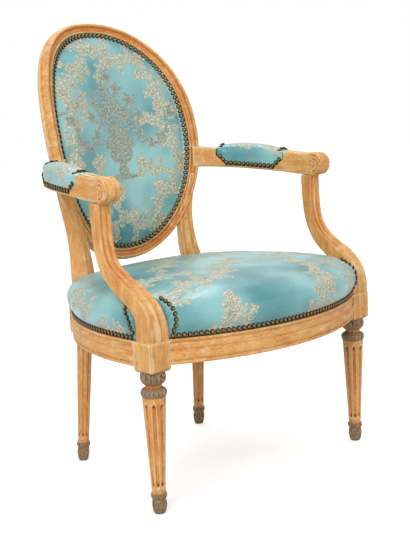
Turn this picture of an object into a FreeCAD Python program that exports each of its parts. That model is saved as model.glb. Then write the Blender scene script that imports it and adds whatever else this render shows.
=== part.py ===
"""An armchair with a moulded oval back, scrolled arms and turned, fluted legs, upholstered and close nailed.

Lengths are in millimetres. +Z is up, the front faces -Y and +X is on the right as seen from the front. The origin
lies on the floor, under the middle of the whole chair.
"""
import FreeCAD, Part
import math
import os

import Sketcher
from FreeCAD import Placement, Rotation, Vector

# The driving dimensions. Each one is a plain number in a sheet's cell, under its own alias.
DIMENSIONS = [
    ("rail_top", 330, "height of the seat rails' visible upper edge"),
    ("rail_height", 49, "height of the moulded face of the seat rails"),
    ("rail_thickness", 28, "thickness of the seat rails"),
    ("rebate_rise", 14, "how far the rails go on above their visible edge, behind the cover"),
    ("rebate_depth", 6, "how far that upper part is set back"),
    ("front_reach", 307.1, "distance of the front rail's foremost point from the origin"),
    ("front_bow_radius", 475, "plan radius of the front rail's face"),
    ("side_swell", 36, "how far the side rails swell out beyond their chord"),
    ("rear_swell", 22, "how far the rear rail swells out beyond its chord"),
    ("leg_half_spacing", 289.5, "half the distance between the front legs' axes"),
    ("seat_depth", 352, "distance from the front legs' axes back to the rear posts"),
    ("block_size", 50, "side of the square block on a front leg"),
    ("block_drop", 9, "how far a block hangs below the rails"),
    ("ring_radius", 24.5, "radius of the carved ring under a block"),
    ("ring_height", 24, "height of that ring"),
    ("neck_radius", 15.5, "radius of the neck under the ring"),
    ("neck_height", 5, "height of the neck"),
    ("collar_radius", 24.8, "radius of the collar under the neck"),
    ("collar_height", 18, "height of the collar"),
    ("shaft_top_radius", 22, "radius of a fluted shaft at its top"),
    ("shaft_foot_radius", 13.2, "radius of a fluted shaft at its foot"),
    ("foot_ring_radius", 15.4, "radius of the ring over a foot"),
    ("foot_ring_height", 13, "height of that ring"),
    ("foot_radius", 14.4, "largest radius of a turned foot"),
    ("foot_height", 29, "height of a turned foot"),
    ("sole_radius", 9.6, "radius of the flat sole of a foot"),
    ("flute_count", 8, "flutes round a leg"),
    ("flute_width", 7, "width of a flute"),
    ("flute_depth", 2.4, "depth of a flute"),
    ("post_half_spacing", 165, "half the distance between the rear posts at the seat"),
    ("post_width", 44, "width of a rear post at the seat rails"),
    ("post_depth", 40, "depth of a rear post at the seat rails"),
    ("rear_splay_out", 8, "how much further out a rear foot stands than its post"),
    ("rear_splay_back", 20, "how much further back a rear foot stands than its post"),
    ("rear_leg_radius", 20, "radius of the rear legs' capital"),
    ("rear_shaft_radius", 16.5, "radius of a rear leg's shaft at its top"),
    ("rear_foot_radius", 11.8, "radius of a rear leg's shaft at its foot"),
    ("back_centre_height", 670, "height of the oval's centre"),
    ("back_centre_reach", 232.9, "distance of the oval's centre behind the origin"),
    ("back_tilt", 12.2, "lean of the back, in degrees"),
    ("back_radius", 310, "plan radius of the curved back"),
    ("oval_half_width", 181, "half the width of the oval inside its wood"),
    ("oval_half_height", 239, "half the height of the oval inside its wood"),
    ("frame_width", 22, "visible width of the moulded oval frame"),
    ("frame_depth", 25, "thickness of the oval frame"),
    ("frame_rebate", 13, "width of the frame's rebate for the upholstery"),
    ("rebate_drop", 3.8, "depth of that rebate below the frame's face"),
    ("stile_width", 41, "width of a post between the seat and the oval"),
    ("stile_depth", 38, "depth of a post between the seat and the oval"),
    ("stile_spread", 160.5, "half the width over the posts at their narrowest"),
    ("arm_height", 602, "height of the scrolls' centres"),
    ("scroll_radius", 24.5, "radius of a scroll"),
    ("scroll_width", 36, "width of an arm at its scroll"),
    ("arm_climb", 20.5, "how much higher an arm's underside is at the back than at its scroll"),
    ("arm_pad_width", 50, "width of an arm at its pad"),
    ("arm_wood", 21, "height of an arm's wood under its pad"),
    ("arm_tail", 47, "height of an arm where it meets the post"),
    ("pad_rise", 34, "height of an arm pad over its wood"),
    ("support_width", 48, "width of an arm support at its block"),
    ("support_top_width", 32, "width of an arm support under its scroll"),
    ("support_sweep", 115, "how far back an arm support sweeps from its leg"),
    ("seat_rise", 91, "height of the seat's crown over the rails' visible edge"),
    ("seat_swell", 6, "how far the seat's sides swell out beyond the rails"),
    ("back_crown", 30, "how far the back's stuffing swells forwards"),
    ("cover_thickness", 1.5, "thickness of the covers"),
    ("web_width", 48, "width of a webbing strap"),
    ("web_thickness", 1.2, "thickness of a webbing strap"),
    ("nail_radius", 5.1, "radius of a nail's head"),
    ("nail_height", 3, "height of a nail's head"),
    ("nail_pitch", 10.8, "distance between neighbouring nails"),
    ("tenon_thickness", 10, "thickness of the frame's tenons"),
    ("tenon_length", 16, "length of the frame's tenons"),
    ("tenon_clearance", 0.15, "gap all round a tenon in its mortise"),
    ("soft_clearance", 0.4, "gap between the upholstery and what it lies against"),
    ("peg_radius", 3, "radius of a draw peg"),
    ("screw_radius", 2, "radius of a brace screw"),
]

doc = FreeCAD.newDocument("oval_back_armchair")
sheet = doc.addObject("Spreadsheet::Sheet", "dimensions")
for row, (alias, value, meaning) in enumerate(DIMENSIONS, start=1):
    sheet.set(f"A{row}", str(value))
    sheet.setAlias(f"A{row}", alias)
    sheet.set(f"B{row}", meaning)
doc.recompute()


class Size(float):
    """A number of the sheet, or one worked out from such numbers, that also knows its expression."""

    def __new__(cls, number, words):
        size = super().__new__(cls, number)
        size.words = words
        return size

    def __add__(self, other):
        return Size(float(self) + float(other), f"({words_of(self)} + {words_of(other)})")

    def __radd__(self, other):
        return Size(float(other) + float(self), f"({words_of(other)} + {words_of(self)})")

    def __sub__(self, other):
        return Size(float(self) - float(other), f"({words_of(self)} - {words_of(other)})")

    def __rsub__(self, other):
        return Size(float(other) - float(self), f"({words_of(other)} - {words_of(self)})")

    def __mul__(self, other):
        return Size(float(self) * float(other), f"({words_of(self)} * {words_of(other)})")

    __rmul__ = __mul__

    def __truediv__(self, other):
        return Size(float(self) / float(other), f"({words_of(self)} / {words_of(other)})")

    def __neg__(self):
        return Size(-float(self), f"(0 - {words_of(self)})")


def words_of(value):
    """The expression of a size, or a plain number as text."""
    return value.words if isinstance(value, Size) else repr(float(value))


def root_of(value):
    """The square root of a size."""
    return Size(math.sqrt(float(value)), f"sqrt({value.words})")


def size(alias):
    """One driving dimension."""
    return Size(float(sheet.get(alias)), f"dimensions.{alias}")


rail_top = size("rail_top")
rail_bottom = rail_top - size("rail_height")
rail_thickness = size("rail_thickness")
upstand_top = rail_top + size("rebate_rise")
rebate_depth = size("rebate_depth")
front_reach = size("front_reach")
front_bow_radius = size("front_bow_radius")
leg_x = size("leg_half_spacing")
half_block = size("block_size") / 2
block_bottom = rail_bottom - size("block_drop")
block_inner_x = leg_x - half_block

# The front rail's face is an arc, flush with the front of each block where they meet.
front_centre_y = front_bow_radius - front_reach
bow_end_y = front_centre_y - root_of(front_bow_radius * front_bow_radius - block_inner_x * block_inner_x)
block_reveal = 1.5
leg_y = bow_end_y + half_block + block_reveal

post_x = size("post_half_spacing")
post_y = leg_y + size("seat_depth")
half_post = size("post_width") / 2
half_post_depth = size("post_depth") / 2
tenon_length = size("tenon_length")
tenon_thickness = size("tenon_thickness")
tenon_gap = size("tenon_clearance")
soft_gap = size("soft_clearance")
SIDES = (("left", -1), ("right", 1))


# Helpers for the pieces that are sketched.

def new_body(label, place):
    """A body with a label of its own, placed by three sizes."""
    body = doc.addObject("PartDesign::Body", label)
    body.Label = label
    for axis, value in zip("xyz", place):
        body.setExpression(f"Placement.Base.{axis}", words_of(value))
    return body


def origin_feature(body, role):
    """A plane or an axis of a body's own origin."""
    return next(item for item in body.Origin.OriginFeatures if item.Role == role)


def new_sketch(body, name, role, corners, lift=None):
    """A closed outline on one of the body's own planes; every corner is driven by its two sizes."""
    sketch = body.newObject("Sketcher::SketchObject", name)
    sketch.AttachmentSupport = [(origin_feature(body, role), "")]
    sketch.MapMode = "FlatFace"
    if lift is not None:
        sketch.setExpression("AttachmentOffset.Base.z", words_of(lift))
    add_outline(sketch, corners)
    return sketch


def add_outline(sketch, corners):
    """Adds a closed polygon to a sketch."""
    first = sketch.GeometryCount
    count = len(corners)
    points = [Vector(float(x), float(y), 0) for x, y in corners]
    for index in range(count):
        sketch.addGeometry(Part.LineSegment(points[index], points[(index + 1) % count]))
    for index, corner in enumerate(corners):
        line = first + index
        following = first + (index + 1) % count
        sketch.addConstraint(Sketcher.Constraint("Coincident", line, 2, following, 1))
        for kind, value in zip(("DistanceX", "DistanceY"), corner):
            number = sketch.addConstraint(Sketcher.Constraint(kind, -1, 1, line, 1, float(value)))
            if isinstance(value, Size):
                sketch.setExpression(f"Constraints[{number}]", value.words)


def pad(body, sketch, length, midplane=False):
    """Pads a sketch by a size."""
    feature = body.newObject("PartDesign::Pad", f"{sketch.Name}_pad")
    feature.Profile = sketch
    feature.Length = float(length)
    feature.Midplane = midplane
    feature.setExpression("Length", words_of(length))
    return feature


def revolve(body, sketch, angle=360.0, midplane=False):
    """Revolves a sketch about its own upright axis."""
    feature = body.newObject("PartDesign::Revolution", f"{sketch.Name}_turning")
    feature.Profile = sketch
    feature.ReferenceAxis = (sketch, ["V_Axis"])
    feature.Angle = float(angle)
    feature.Midplane = midplane
    return feature


def add_box(body, name, kind, low, high):
    """An additive or subtractive box between two corners given in sizes."""
    feature = body.newObject(f"PartDesign::{kind}Box", name)
    feature.AttachmentSupport = [(origin_feature(body, "XY_Plane"), "")]
    feature.MapMode = "FlatFace"
    for property_name, start, end in zip(("Length", "Width", "Height"), low, high):
        span = end - start
        feature.setExpression(property_name, words_of(span))
    for axis, start in zip("xyz", low):
        feature.setExpression(f"AttachmentOffset.Base.{axis}", words_of(start))
    return feature


def add_hole(body, name, start, turn, radius, length):
    """A round hole from a place along a turned axis."""
    feature = body.newObject("PartDesign::SubtractiveCylinder", name)
    feature.AttachmentSupport = [(origin_feature(body, "XY_Plane"), "")]
    feature.MapMode = "FlatFace"
    feature.Height = float(length)
    feature.setExpression("Radius", words_of(radius))
    feature.AttachmentOffset = Placement(Vector(0, 0, 0), turn)
    for axis, value in zip("xyz", start):
        feature.setExpression(f"AttachmentOffset.Base.{axis}", words_of(value))
    return feature


# Helpers for the pieces that are lofted.

def solid_feature(label, shape):
    """A sub-part whose shape is worked out from the sheet's sizes."""
    feature = doc.addObject("Part::Feature", label)
    feature.Label = label
    feature.Shape = shape
    feature.Placement = Placement()
    return feature


def mirrored(shape):
    """The left-hand twin of a right-hand shape."""
    return shape.mirror(Vector(0, 0, 0), Vector(1, 0, 0))


def on_side(shape, side):
    """A right-hand shape, or its twin for the left side."""
    return shape if side > 0 else mirrored(shape)


def corner_box(low, high):
    """A box between two corners."""
    return Part.makeBox(high[0] - low[0], high[1] - low[1], high[2] - low[2], Vector(*low))


def arc(start, middle, end):
    """An arc through three points."""
    return Part.Arc(start, middle, end).toShape()


def closed_wire(points):
    """A closed polygon."""
    return Part.makePolygon(list(points) + [points[0]])


def prism(points, direction):
    """A polygon pushed along a direction."""
    return Part.Face(closed_wire(points)).extrude(direction)


def fused(shapes):
    """One solid from overlapping shapes."""
    shape = shapes[0].fuse(shapes[1:])
    return shape.removeSplitter()


def blend(value, table):
    """Reads a table of (position, value) rows, in straight steps."""
    if value <= table[0][0]:
        return table[0][1]
    for (start, low), (end, high) in zip(table[:-1], table[1:]):
        if value <= end:
            return low + (high - low) * (value - start) / (end - start)
    return table[-1][1]


# The seat's plan: four arcs, the outermost line of the rails, which every layer of the seat follows.

side_start = Vector(float(leg_x + half_block), float(leg_y + half_block), 0)
side_end = Vector(float(post_x + half_post), float(post_y + half_post_depth / 2), 0)


def swell_circle(start, end, swell):
    """Centre and radius of the arc that swells out from a chord, to the right of its direction."""
    chord = end - start
    half = chord.Length / 2
    radius = (half * half + swell * swell) / (2 * swell)
    outwards = Vector(chord.y, -chord.x, 0).normalize()
    return (start + end) * 0.5 + outwards * (swell - radius), radius


side_centre, side_radius = swell_circle(side_start, side_end, float(size("side_swell")))
rear_centre, rear_radius = swell_circle(side_end, Vector(-side_end.x, side_end.y, 0), float(size("rear_swell")))
front_centre = Vector(0, float(front_centre_y), 0)


def circles_meet(first, first_radius, second, second_radius, near):
    """Where two circles cross, on the side of a given point."""
    apart = second - first
    distance = apart.Length
    along = (first_radius ** 2 - second_radius ** 2 + distance ** 2) / (2 * distance)
    across = math.sqrt(max(first_radius ** 2 - along ** 2, 0.0))
    direction = Vector(apart).normalize()
    foot = first + direction * along
    normal = Vector(-direction.y, direction.x, 0)
    return min((foot + normal * across, foot - normal * across), key=lambda point: (point - near).Length)


def plan_corners(offset):
    """The front and rear right-hand corners of the plan, moved out by an offset."""
    front = circles_meet(front_centre, float(front_bow_radius) + offset, side_centre, side_radius + offset, side_start)
    rear = circles_meet(side_centre, side_radius + offset, rear_centre, rear_radius + offset, side_end)
    return front, rear


def circle_middle(centre, radius, start, end):
    """The point of a circle halfway between two others."""
    return centre + ((start + end) * 0.5 - centre).normalize() * radius


def plan_wire(offset, height):
    """The seat's plan, moved out by an offset, at a height."""
    front, rear = plan_corners(offset)
    front_left, rear_left = Vector(-front.x, front.y, 0), Vector(-rear.x, rear.y, 0)
    left_centre = Vector(-side_centre.x, side_centre.y, 0)
    edges = [
        arc(front_left, front_centre - Vector(0, float(front_bow_radius) + offset, 0), front),
        arc(front, circle_middle(side_centre, side_radius + offset, front, rear), rear),
        arc(rear, rear_centre + Vector(0, rear_radius + offset, 0), rear_left),
        arc(rear_left, circle_middle(left_centre, side_radius + offset, front_left, rear_left), front_left),
    ]
    wire = Part.Wire(edges)
    wire.translate(Vector(0, 0, height))
    return wire


def front_point(x, offset):
    """A point of the front rail's line at a given x."""
    radius = float(front_bow_radius) + offset
    return Vector(x, front_centre.y - math.sqrt(radius ** 2 - x ** 2), 0)


def side_point(y, offset):
    """A point of the right side rail's line at a given y."""
    radius = side_radius + offset
    return Vector(side_centre.x + math.sqrt(radius ** 2 - (y - side_centre.y) ** 2), y, 0)


def rear_point(x, offset):
    """A point of the rear rail's line at a given x."""
    radius = rear_radius + offset
    return Vector(x, rear_centre.y + math.sqrt(radius ** 2 - x ** 2), 0)


# The moulding of the seat rails, as steps inwards from the outermost line at parts of the face's height.
RAIL_MOULDING = [
    (6.0, 0.0), (2.2, 0.03), (1.2, 0.07), (1.6, 0.115), (4.4, 0.14), (4.4, 0.17), (1.6, 0.20), (0.4, 0.28),
    (0.2, 0.36), (1.0, 0.45), (2.6, 0.50), (4.6, 0.52), (4.8, 0.56), (3.4, 0.60), (2.6, 0.70), (2.8, 0.78),
    (4.2, 0.84), (4.2, 0.88), (1.0, 0.90), (0.0, 0.94), (0.0, 1.0),
]


def rail_profile():
    """Corners of a rail's section: steps inwards and heights, in sizes."""
    face = [(step, rail_bottom + size("rail_height") * part) for step, part in RAIL_MOULDING]
    return face + [
        (rebate_depth, rail_top), (rebate_depth, upstand_top),
        (rail_thickness, upstand_top), (rail_thickness, rail_bottom)]


# Front legs: a square block, turned rings, a fluted shaft and a turned foot.

def front_leg(name, side):
    """A front leg, turned about its own axis, with mortises for two rails and for its arm support."""
    body = new_body(f"front_{name}_leg", (leg_x * side, leg_y, 0))
    ring_bottom = block_bottom - size("ring_height")
    neck_bottom = ring_bottom - size("neck_height")
    collar_bottom = neck_bottom - size("collar_height")
    ring_radius = size("ring_radius")
    ring_height = size("ring_height")
    neck = size("neck_radius")
    collar = size("collar_radius")
    collar_height = size("collar_height")
    shaft_top = size("shaft_top_radius")
    shaft_foot = size("shaft_foot_radius")
    foot_ring = size("foot_ring_radius")
    foot_ring_height = size("foot_ring_height")
    foot = size("foot_radius")
    foot_height = size("foot_height")
    shaft_bottom = foot_height + foot_ring_height + 5
    turning = [
        (0, 0), (size("sole_radius"), 0), (foot * 0.86, foot_height * 0.2), (foot, foot_height * 0.55),
        (foot * 0.97, foot_height * 0.8), (foot * 0.86, foot_height), (foot_ring * 0.93, foot_height + 2),
        (foot_ring, foot_height + foot_ring_height * 0.35), (foot_ring, foot_height + foot_ring_height * 0.75),
        (foot_ring * 0.92, foot_height + foot_ring_height), (shaft_foot * 0.92, shaft_bottom - 3),
        (shaft_foot, shaft_bottom), (shaft_top, collar_bottom - 4), (shaft_top, collar_bottom),
        (collar * 0.93, collar_bottom + collar_height * 0.15), (collar, collar_bottom + collar_height * 0.4),
        (collar, collar_bottom + collar_height * 0.55), (collar * 0.9, collar_bottom + collar_height * 0.8),
        (neck, neck_bottom), (neck, ring_bottom), (neck * 1.25, ring_bottom + ring_height * 0.12),
        (ring_radius * 0.92, ring_bottom + ring_height * 0.3), (ring_radius, ring_bottom + ring_height * 0.5),
        (ring_radius, ring_bottom + ring_height * 0.75), (ring_radius * 0.94, block_bottom),
        (ring_radius * 0.9, block_bottom + 2), (0, block_bottom + 2)]
    revolve(body, new_sketch(body, f"front_{name}_turning_outline", "XZ_Plane", turning))
    square = [(-half_block, -half_block), (half_block, -half_block), (half_block, half_block), (-half_block, half_block)]
    block_height = rail_top - block_bottom
    pad(body, new_sketch(body, f"front_{name}_block", "XY_Plane", square, block_bottom), block_height)
    heart = half_block - rebate_depth
    low = [(-heart, -heart), (heart, -heart), (heart, heart), (-heart, heart)]
    pad(body, new_sketch(body, f"front_{name}_upstand", "XY_Plane", low, rail_top), size("rebate_rise"))
    front_cut = half_block * 0.5
    mortise_low = rail_bottom + 8
    mortise_high = rail_bottom + 34
    for number, reach in enumerate(("front", "side")):
        span = tenon_thickness / 2 + tenon_gap
        centre = front_cut - half_block
        inner = half_block - tenon_length - tenon_gap
        if reach == "front":
            corner_low = (-half_block - 1 if side > 0 else inner, centre - span, mortise_low - tenon_gap)
            corner_high = (-inner if side > 0 else half_block + 1, centre + span, mortise_high + tenon_gap)
        else:
            outer = (half_block - front_cut) * side
            corner_low = (outer - span, inner, mortise_low - tenon_gap)
            corner_high = (outer + span, half_block + 1, mortise_high + tenon_gap)
        add_box(body, f"front_{name}_mortise_{number + 1}", "Subtractive", corner_low, corner_high)
    socket = support_tenon_half + tenon_gap
    add_box(
        body, f"front_{name}_support_mortise", "Subtractive",
        (-socket, -socket, upstand_top - support_tenon_length - tenon_gap), (socket, socket, upstand_top + 1))
    inner = half_block - 8
    add_hole(
        body, f"front_{name}_front_peg_hole", (-inner * side, half_block, rail_bottom + PEG_LEVELS[0]),
        Rotation(Vector(0, 0, 1), Vector(0, -1, 0)), size("peg_radius"), 42)
    add_hole(
        body, f"front_{name}_side_peg_hole", (-half_block * side, inner, rail_bottom + PEG_LEVELS[1]),
        Rotation(Vector(0, 0, 1), Vector(side, 0, 0)), size("peg_radius"), 42)
    doc.recompute()
    flute_low = shaft_bottom + 6
    flute_high = collar_bottom - 12
    slope = (shaft_top - shaft_foot) / (collar_bottom - 4 - shaft_bottom)
    low_radius = shaft_foot + slope * 6
    high_radius = shaft_top - slope * 8
    depth = size("flute_depth")
    flute = [
        (low_radius - depth, flute_low), (low_radius + 6, flute_low), (high_radius + 6, flute_high),
        (high_radius - depth, flute_high)]
    sketch = new_sketch(body, f"front_{name}_flute_outline", "XZ_Plane", flute)
    pocket = body.newObject("PartDesign::Pocket", f"front_{name}_flute")
    pocket.Profile = sketch
    pocket.Midplane = True
    pocket.setExpression("Length", words_of(size("flute_width")))
    pattern = body.newObject("PartDesign::PolarPattern", f"front_{name}_flutes")
    pattern.Originals = [pocket]
    pattern.Axis = (sketch, ["V_Axis"])
    pattern.Angle = 360
    pattern.setExpression("Occurrences", words_of(size("flute_count")))
    body.Tip = pattern
    return body


PEG_LEVELS = (15.0, 27.0)
SCREW_LEVEL = 23.0
support_tenon_half = Size(9.0, "9.0")
support_tenon_length = Size(24.0, "24.0")
for side_name, side_sign in SIDES:
    front_leg(side_name, side_sign)


# Front rail: its section is revolved about the bow's centre, trimmed at the blocks and tenoned into them.

def front_rail():
    """The bowed front rail."""
    body = new_body("front_rail", (0, front_centre_y, 0))
    section = [(step - front_bow_radius, height) for step, height in rail_profile()]
    reach = 2 * math.degrees(math.asin(float(block_inner_x) / (float(front_bow_radius) - float(rail_thickness)))) + 4
    revolve(body, new_sketch(body, "front_rail_section", "YZ_Plane", section), reach, midplane=True)
    beyond = block_inner_x + 80
    depth = front_bow_radius + 20
    trim = [(block_inner_x, -depth), (beyond, -depth), (beyond, 0), (block_inner_x, 0)]
    sketch = new_sketch(body, "front_rail_ends", "XY_Plane", trim)
    add_outline(sketch, [(-block_inner_x, -depth), (-block_inner_x, 0), (-beyond, 0), (-beyond, -depth)])
    cut = body.newObject("PartDesign::Pocket", "front_rail_trim")
    cut.Profile = sketch
    cut.Type = "ThroughAll"
    cut.Midplane = True
    centre = leg_y - front_centre_y - half_block * 0.5
    for name, side in SIDES:
        inside = block_inner_x - 12
        tip = block_inner_x + tenon_length
        low_x, high_x = (inside, tip) if side > 0 else (-tip, -inside)
        add_box(
            body, f"front_rail_{name}_tenon", "Additive",
            (low_x, centre - tenon_thickness / 2, rail_bottom + 8),
            (high_x, centre + tenon_thickness / 2, rail_bottom + 34))
        peg_x = (leg_x - half_block + 8) * side
        add_hole(
            body, f"front_rail_{name}_peg_hole", (peg_x, leg_y - front_centre_y + half_block, rail_bottom + PEG_LEVELS[0]),
            Rotation(Vector(0, 0, 1), Vector(0, -1, 0)), size("peg_radius"), 42)
        screw_x = (block_inner_x - 30) * side
        inner_radius = front_bow_radius - rail_thickness
        screw_y = -root_of(inner_radius * inner_radius - (block_inner_x - 30) * (block_inner_x - 30))
        turn = math.degrees(math.asin(float(block_inner_x - 30) / float(inner_radius)))
        direction = Rotation(Vector(0, 0, 1), turn * side).multVec(Vector(0, -1, 0))
        add_hole(
            body, f"front_rail_{name}_screw_hole", (screw_x, screw_y, rail_bottom + SCREW_LEVEL),
            Rotation(Vector(0, 0, 1), direction), size("screw_radius"), 15.1)
    return body


front_rail()


# Side and rear rails: the same section, swept round their own arcs.

def swept_rail(centre, radius, start_angle, end_angle):
    """A rail's section carried round a centre between two angles, in degrees from +X."""
    points = [Vector(radius - float(step), 0, float(height)) for step, height in rail_profile()]
    face = Part.Face(closed_wire(points))
    face.rotate(Vector(0, 0, 0), Vector(0, 0, 1), start_angle)
    sweep = face.revolve(Vector(0, 0, 0), Vector(0, 0, 1), end_angle - start_angle)
    sweep.translate(centre)
    return sweep


def post_block(grow=0.0):
    """The rear post's block at the seat rails, or the space it takes."""
    low = Vector(float(post_x - half_post) - grow, float(post_y - half_post_depth) - grow, float(rail_bottom) - 10)
    high = Vector(float(post_x + half_post) + grow, float(post_y + half_post_depth) + grow, float(upstand_top) + 1)
    return corner_box(low, high)


def rail_tenon(start, direction, grow=0.0):
    """A rail's tenon, or its mortise: a box along a level direction, with its root inside the rail."""
    across = Vector(-direction.y, direction.x, 0)
    half = float(tenon_thickness) / 2 + grow
    root = 10.0
    length = float(tenon_length) + root + grow
    low = start - direction * root - across * half
    points = [low, low + direction * length, low + direction * length + across * 2 * half, low + across * 2 * half]
    bottom = float(rail_bottom) + 8 - grow
    points = [Vector(point.x, point.y, bottom) for point in points]
    return prism(points, Vector(0, 0, 26 + 2 * grow))


side_tenon_front = (
    Vector(float(leg_x + half_block * 0.5), float(leg_y + half_block), 0), Vector(0, -1, 0))
side_tenon_rear = (
    Vector(float(post_x + half_post) - 9, float(post_y - half_post_depth), 0), Vector(0, 1, 0))
rear_tenon = (
    Vector(float(post_x - half_post), float(post_y) + 6, 0), Vector(1, 0, 0))


peg_radius = float(size("peg_radius"))


def peg(place, direction, length):
    """A draw peg."""
    return Part.makeCylinder(peg_radius, length, place, direction)


def leg_pegs():
    """The pegs of the right front leg: one through the front rail's tenon, one through the side rail's."""
    inner = float(half_block) - 8
    front = Vector(float(leg_x) - inner, float(leg_y + half_block), float(rail_bottom) + PEG_LEVELS[0])
    side = Vector(float(leg_x - half_block), float(leg_y) + inner, float(rail_bottom) + PEG_LEVELS[1])
    return [peg(front, Vector(0, -1, 0), 42), peg(side, Vector(1, 0, 0), 42)]


def post_pegs():
    """The pegs of the right rear post: one through the side rail's tenon, one through the rear rail's."""
    side = Vector(
        float(post_x - half_post), float(post_y - half_post_depth) + 8, float(rail_bottom) + PEG_LEVELS[0])
    rear = Vector(
        float(post_x - half_post) + 8, float(post_y - half_post_depth), float(rail_bottom) + PEG_LEVELS[1])
    return [peg(side, Vector(1, 0, 0), 40), peg(rear, Vector(0, 1, 0), 34)]


seat_pegs = leg_pegs() + post_pegs()

screw_radius = float(size("screw_radius"))
SCREW_HEAD = 2.2


def screw(seat, direction, length, grow=0.0):
    """A brace screw from its head's seat along a direction; with grow, the way its head comes in as well."""
    shank = Part.makeCylinder(screw_radius, length, seat, direction)
    head_length = 60.0 if grow else SCREW_HEAD
    head = Part.makeCylinder(2 * screw_radius + grow, head_length, seat, direction * -1)
    return shank.fuse(head)


def screw_runs():
    """Seats, directions and lengths of the right-hand brace screws, front then rear."""
    level = float(rail_bottom) + SCREW_LEVEL
    thickness = float(rail_thickness)
    bow = math.asin((float(block_inner_x) - 30) / (float(front_bow_radius) - thickness))
    bow_direction = Vector(math.sin(bow), -math.cos(bow), 0)
    front = front_centre + bow_direction * (float(front_bow_radius) - thickness - 9) + Vector(0, 0, level)
    side = side_point(float(leg_y + half_block) + 32, -thickness - 9) + Vector(0, 0, level)
    rear_side = side_point(float(post_y - half_post_depth) - 26, -thickness - 9) + Vector(0, 0, level)
    rear = rear_point(float(post_x - half_post) - 26, -thickness - 9) + Vector(0, 0, level)
    return [
        (front, bow_direction, 24.0),
        (side, (side - side_centre).normalize(), 24.0),
        (rear_side, (rear_side - side_centre).normalize(), 24.0),
        (rear, (rear - rear_centre).normalize(), 24.0)]


def level_direction(direction):
    """A direction with its upright part taken out."""
    return Vector(direction.x, direction.y, 0).normalize()


brace_screw_runs = [(seat, level_direction(direction), length) for seat, direction, length in screw_runs()]
right_pegs = seat_pegs


def side_rail():
    """The right side rail, trimmed at the leg block and at the rear post."""
    start = math.degrees(math.atan2(side_start.y - side_centre.y, side_start.x - side_centre.x))
    end = math.degrees(math.atan2(side_end.y - side_centre.y, side_end.x - side_centre.x))
    rail = swept_rail(side_centre, side_radius, start - 4, end + 2)
    ahead = corner_box(
        Vector(0, -900, float(rail_bottom) - 5), Vector(900, float(leg_y + half_block), float(upstand_top) + 5))
    behind = corner_box(
        Vector(0, float(post_y - half_post_depth), float(rail_bottom) - 5), Vector(900, 900, float(upstand_top) + 5))
    rail = rail.cut([ahead, behind])
    rail = fused([rail, rail_tenon(*side_tenon_front), rail_tenon(*side_tenon_rear)])
    return rail.cut(seat_pegs + [screw(*run) for run in brace_screw_runs])


right_side_rail = side_rail()
for side_name, side_sign in SIDES:
    solid_feature(f"{side_name}_side_rail", on_side(right_side_rail, side_sign))


def rear_rail():
    """The rear rail, between the posts."""
    inner = post_x - half_post
    angle = math.degrees(math.asin(float(inner) / (rear_radius - float(rail_thickness)))) + 2
    rail = swept_rail(rear_centre, rear_radius, 90 - angle, 90 + angle)
    ends = [
        corner_box(Vector(float(inner), -900, 0), Vector(900, 900, 900)),
        corner_box(Vector(-900, -900, 0), Vector(-float(inner), 900, 900))]
    tenon = rail_tenon(*rear_tenon)
    holes = seat_pegs + [screw(*run) for run in brace_screw_runs]
    return fused([rail.cut(ends), tenon, mirrored(tenon)]).cut(holes + [mirrored(hole) for hole in holes])


solid_feature("rear_rail", rear_rail())


# The back: an oval on a curved, leaning surface. Its frame is a moulding carried round the oval.

tilt = math.radians(float(size("back_tilt")))
back_origin = Vector(0, float(size("back_centre_reach")), float(size("back_centre_height")))
back_up = Vector(0, math.sin(tilt), math.cos(tilt))
back_behind = Vector(0, math.cos(tilt), -math.sin(tilt))
back_radius = float(size("back_radius"))
oval_a = float(size("oval_half_width"))
oval_b = float(size("oval_half_height"))
OVAL_POWER = 0.925
OVAL_EGG = 0.024


def oval_plane(angle, offset=0.0):
    """A point of the oval in the back's own flat layout, moved outwards by an offset; the angle is in degrees."""
    def bare(degrees):
        turn = math.radians(degrees)
        across, up = math.cos(turn), math.sin(turn)
        x = oval_a * math.copysign(abs(across) ** OVAL_POWER, across) * (1 + OVAL_EGG * up)
        return x, oval_b * math.copysign(abs(up) ** OVAL_POWER, up)

    x, v = bare(angle)
    before, after = bare(angle - 0.5), bare(angle + 0.5)
    run = (after[0] - before[0], after[1] - before[1])
    length = math.hypot(*run)
    return x + run[1] / length * offset, v - run[0] / length * offset


def on_back(x, v, behind=0.0):
    """A point of the curved back from its flat layout; behind is the depth under its front face."""
    turn = math.asin(max(-0.99, min(0.99, x / back_radius)))
    radius = back_radius + behind
    return (
        back_origin + Vector(radius * math.sin(turn), 0, 0) + back_up * v
        - back_behind * (back_radius - radius * math.cos(turn)))


def frame_axes(angle):
    """Where the oval passes at an angle, with the directions out across the frame and back through it."""
    base = on_back(*oval_plane(angle))
    outwards = (on_back(*oval_plane(angle, 10)) - base).normalize()
    along = (on_back(*oval_plane(angle + 0.5)) - on_back(*oval_plane(angle - 0.5))).normalize()
    behind = outwards.cross(along).normalize()
    if behind.y < 0:
        behind = behind * -1
    return base, outwards, behind


def frame_point(angle, out, behind):
    """A point of the oval frame's section: out from the nail line and behind the face."""
    base, outwards, backwards = frame_axes(angle)
    return base + outwards * out + backwards * behind


frame_width = float(size("frame_width"))
frame_depth = float(size("frame_depth"))
frame_rebate = float(size("frame_rebate"))
rebate_drop = float(size("rebate_drop"))
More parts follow.
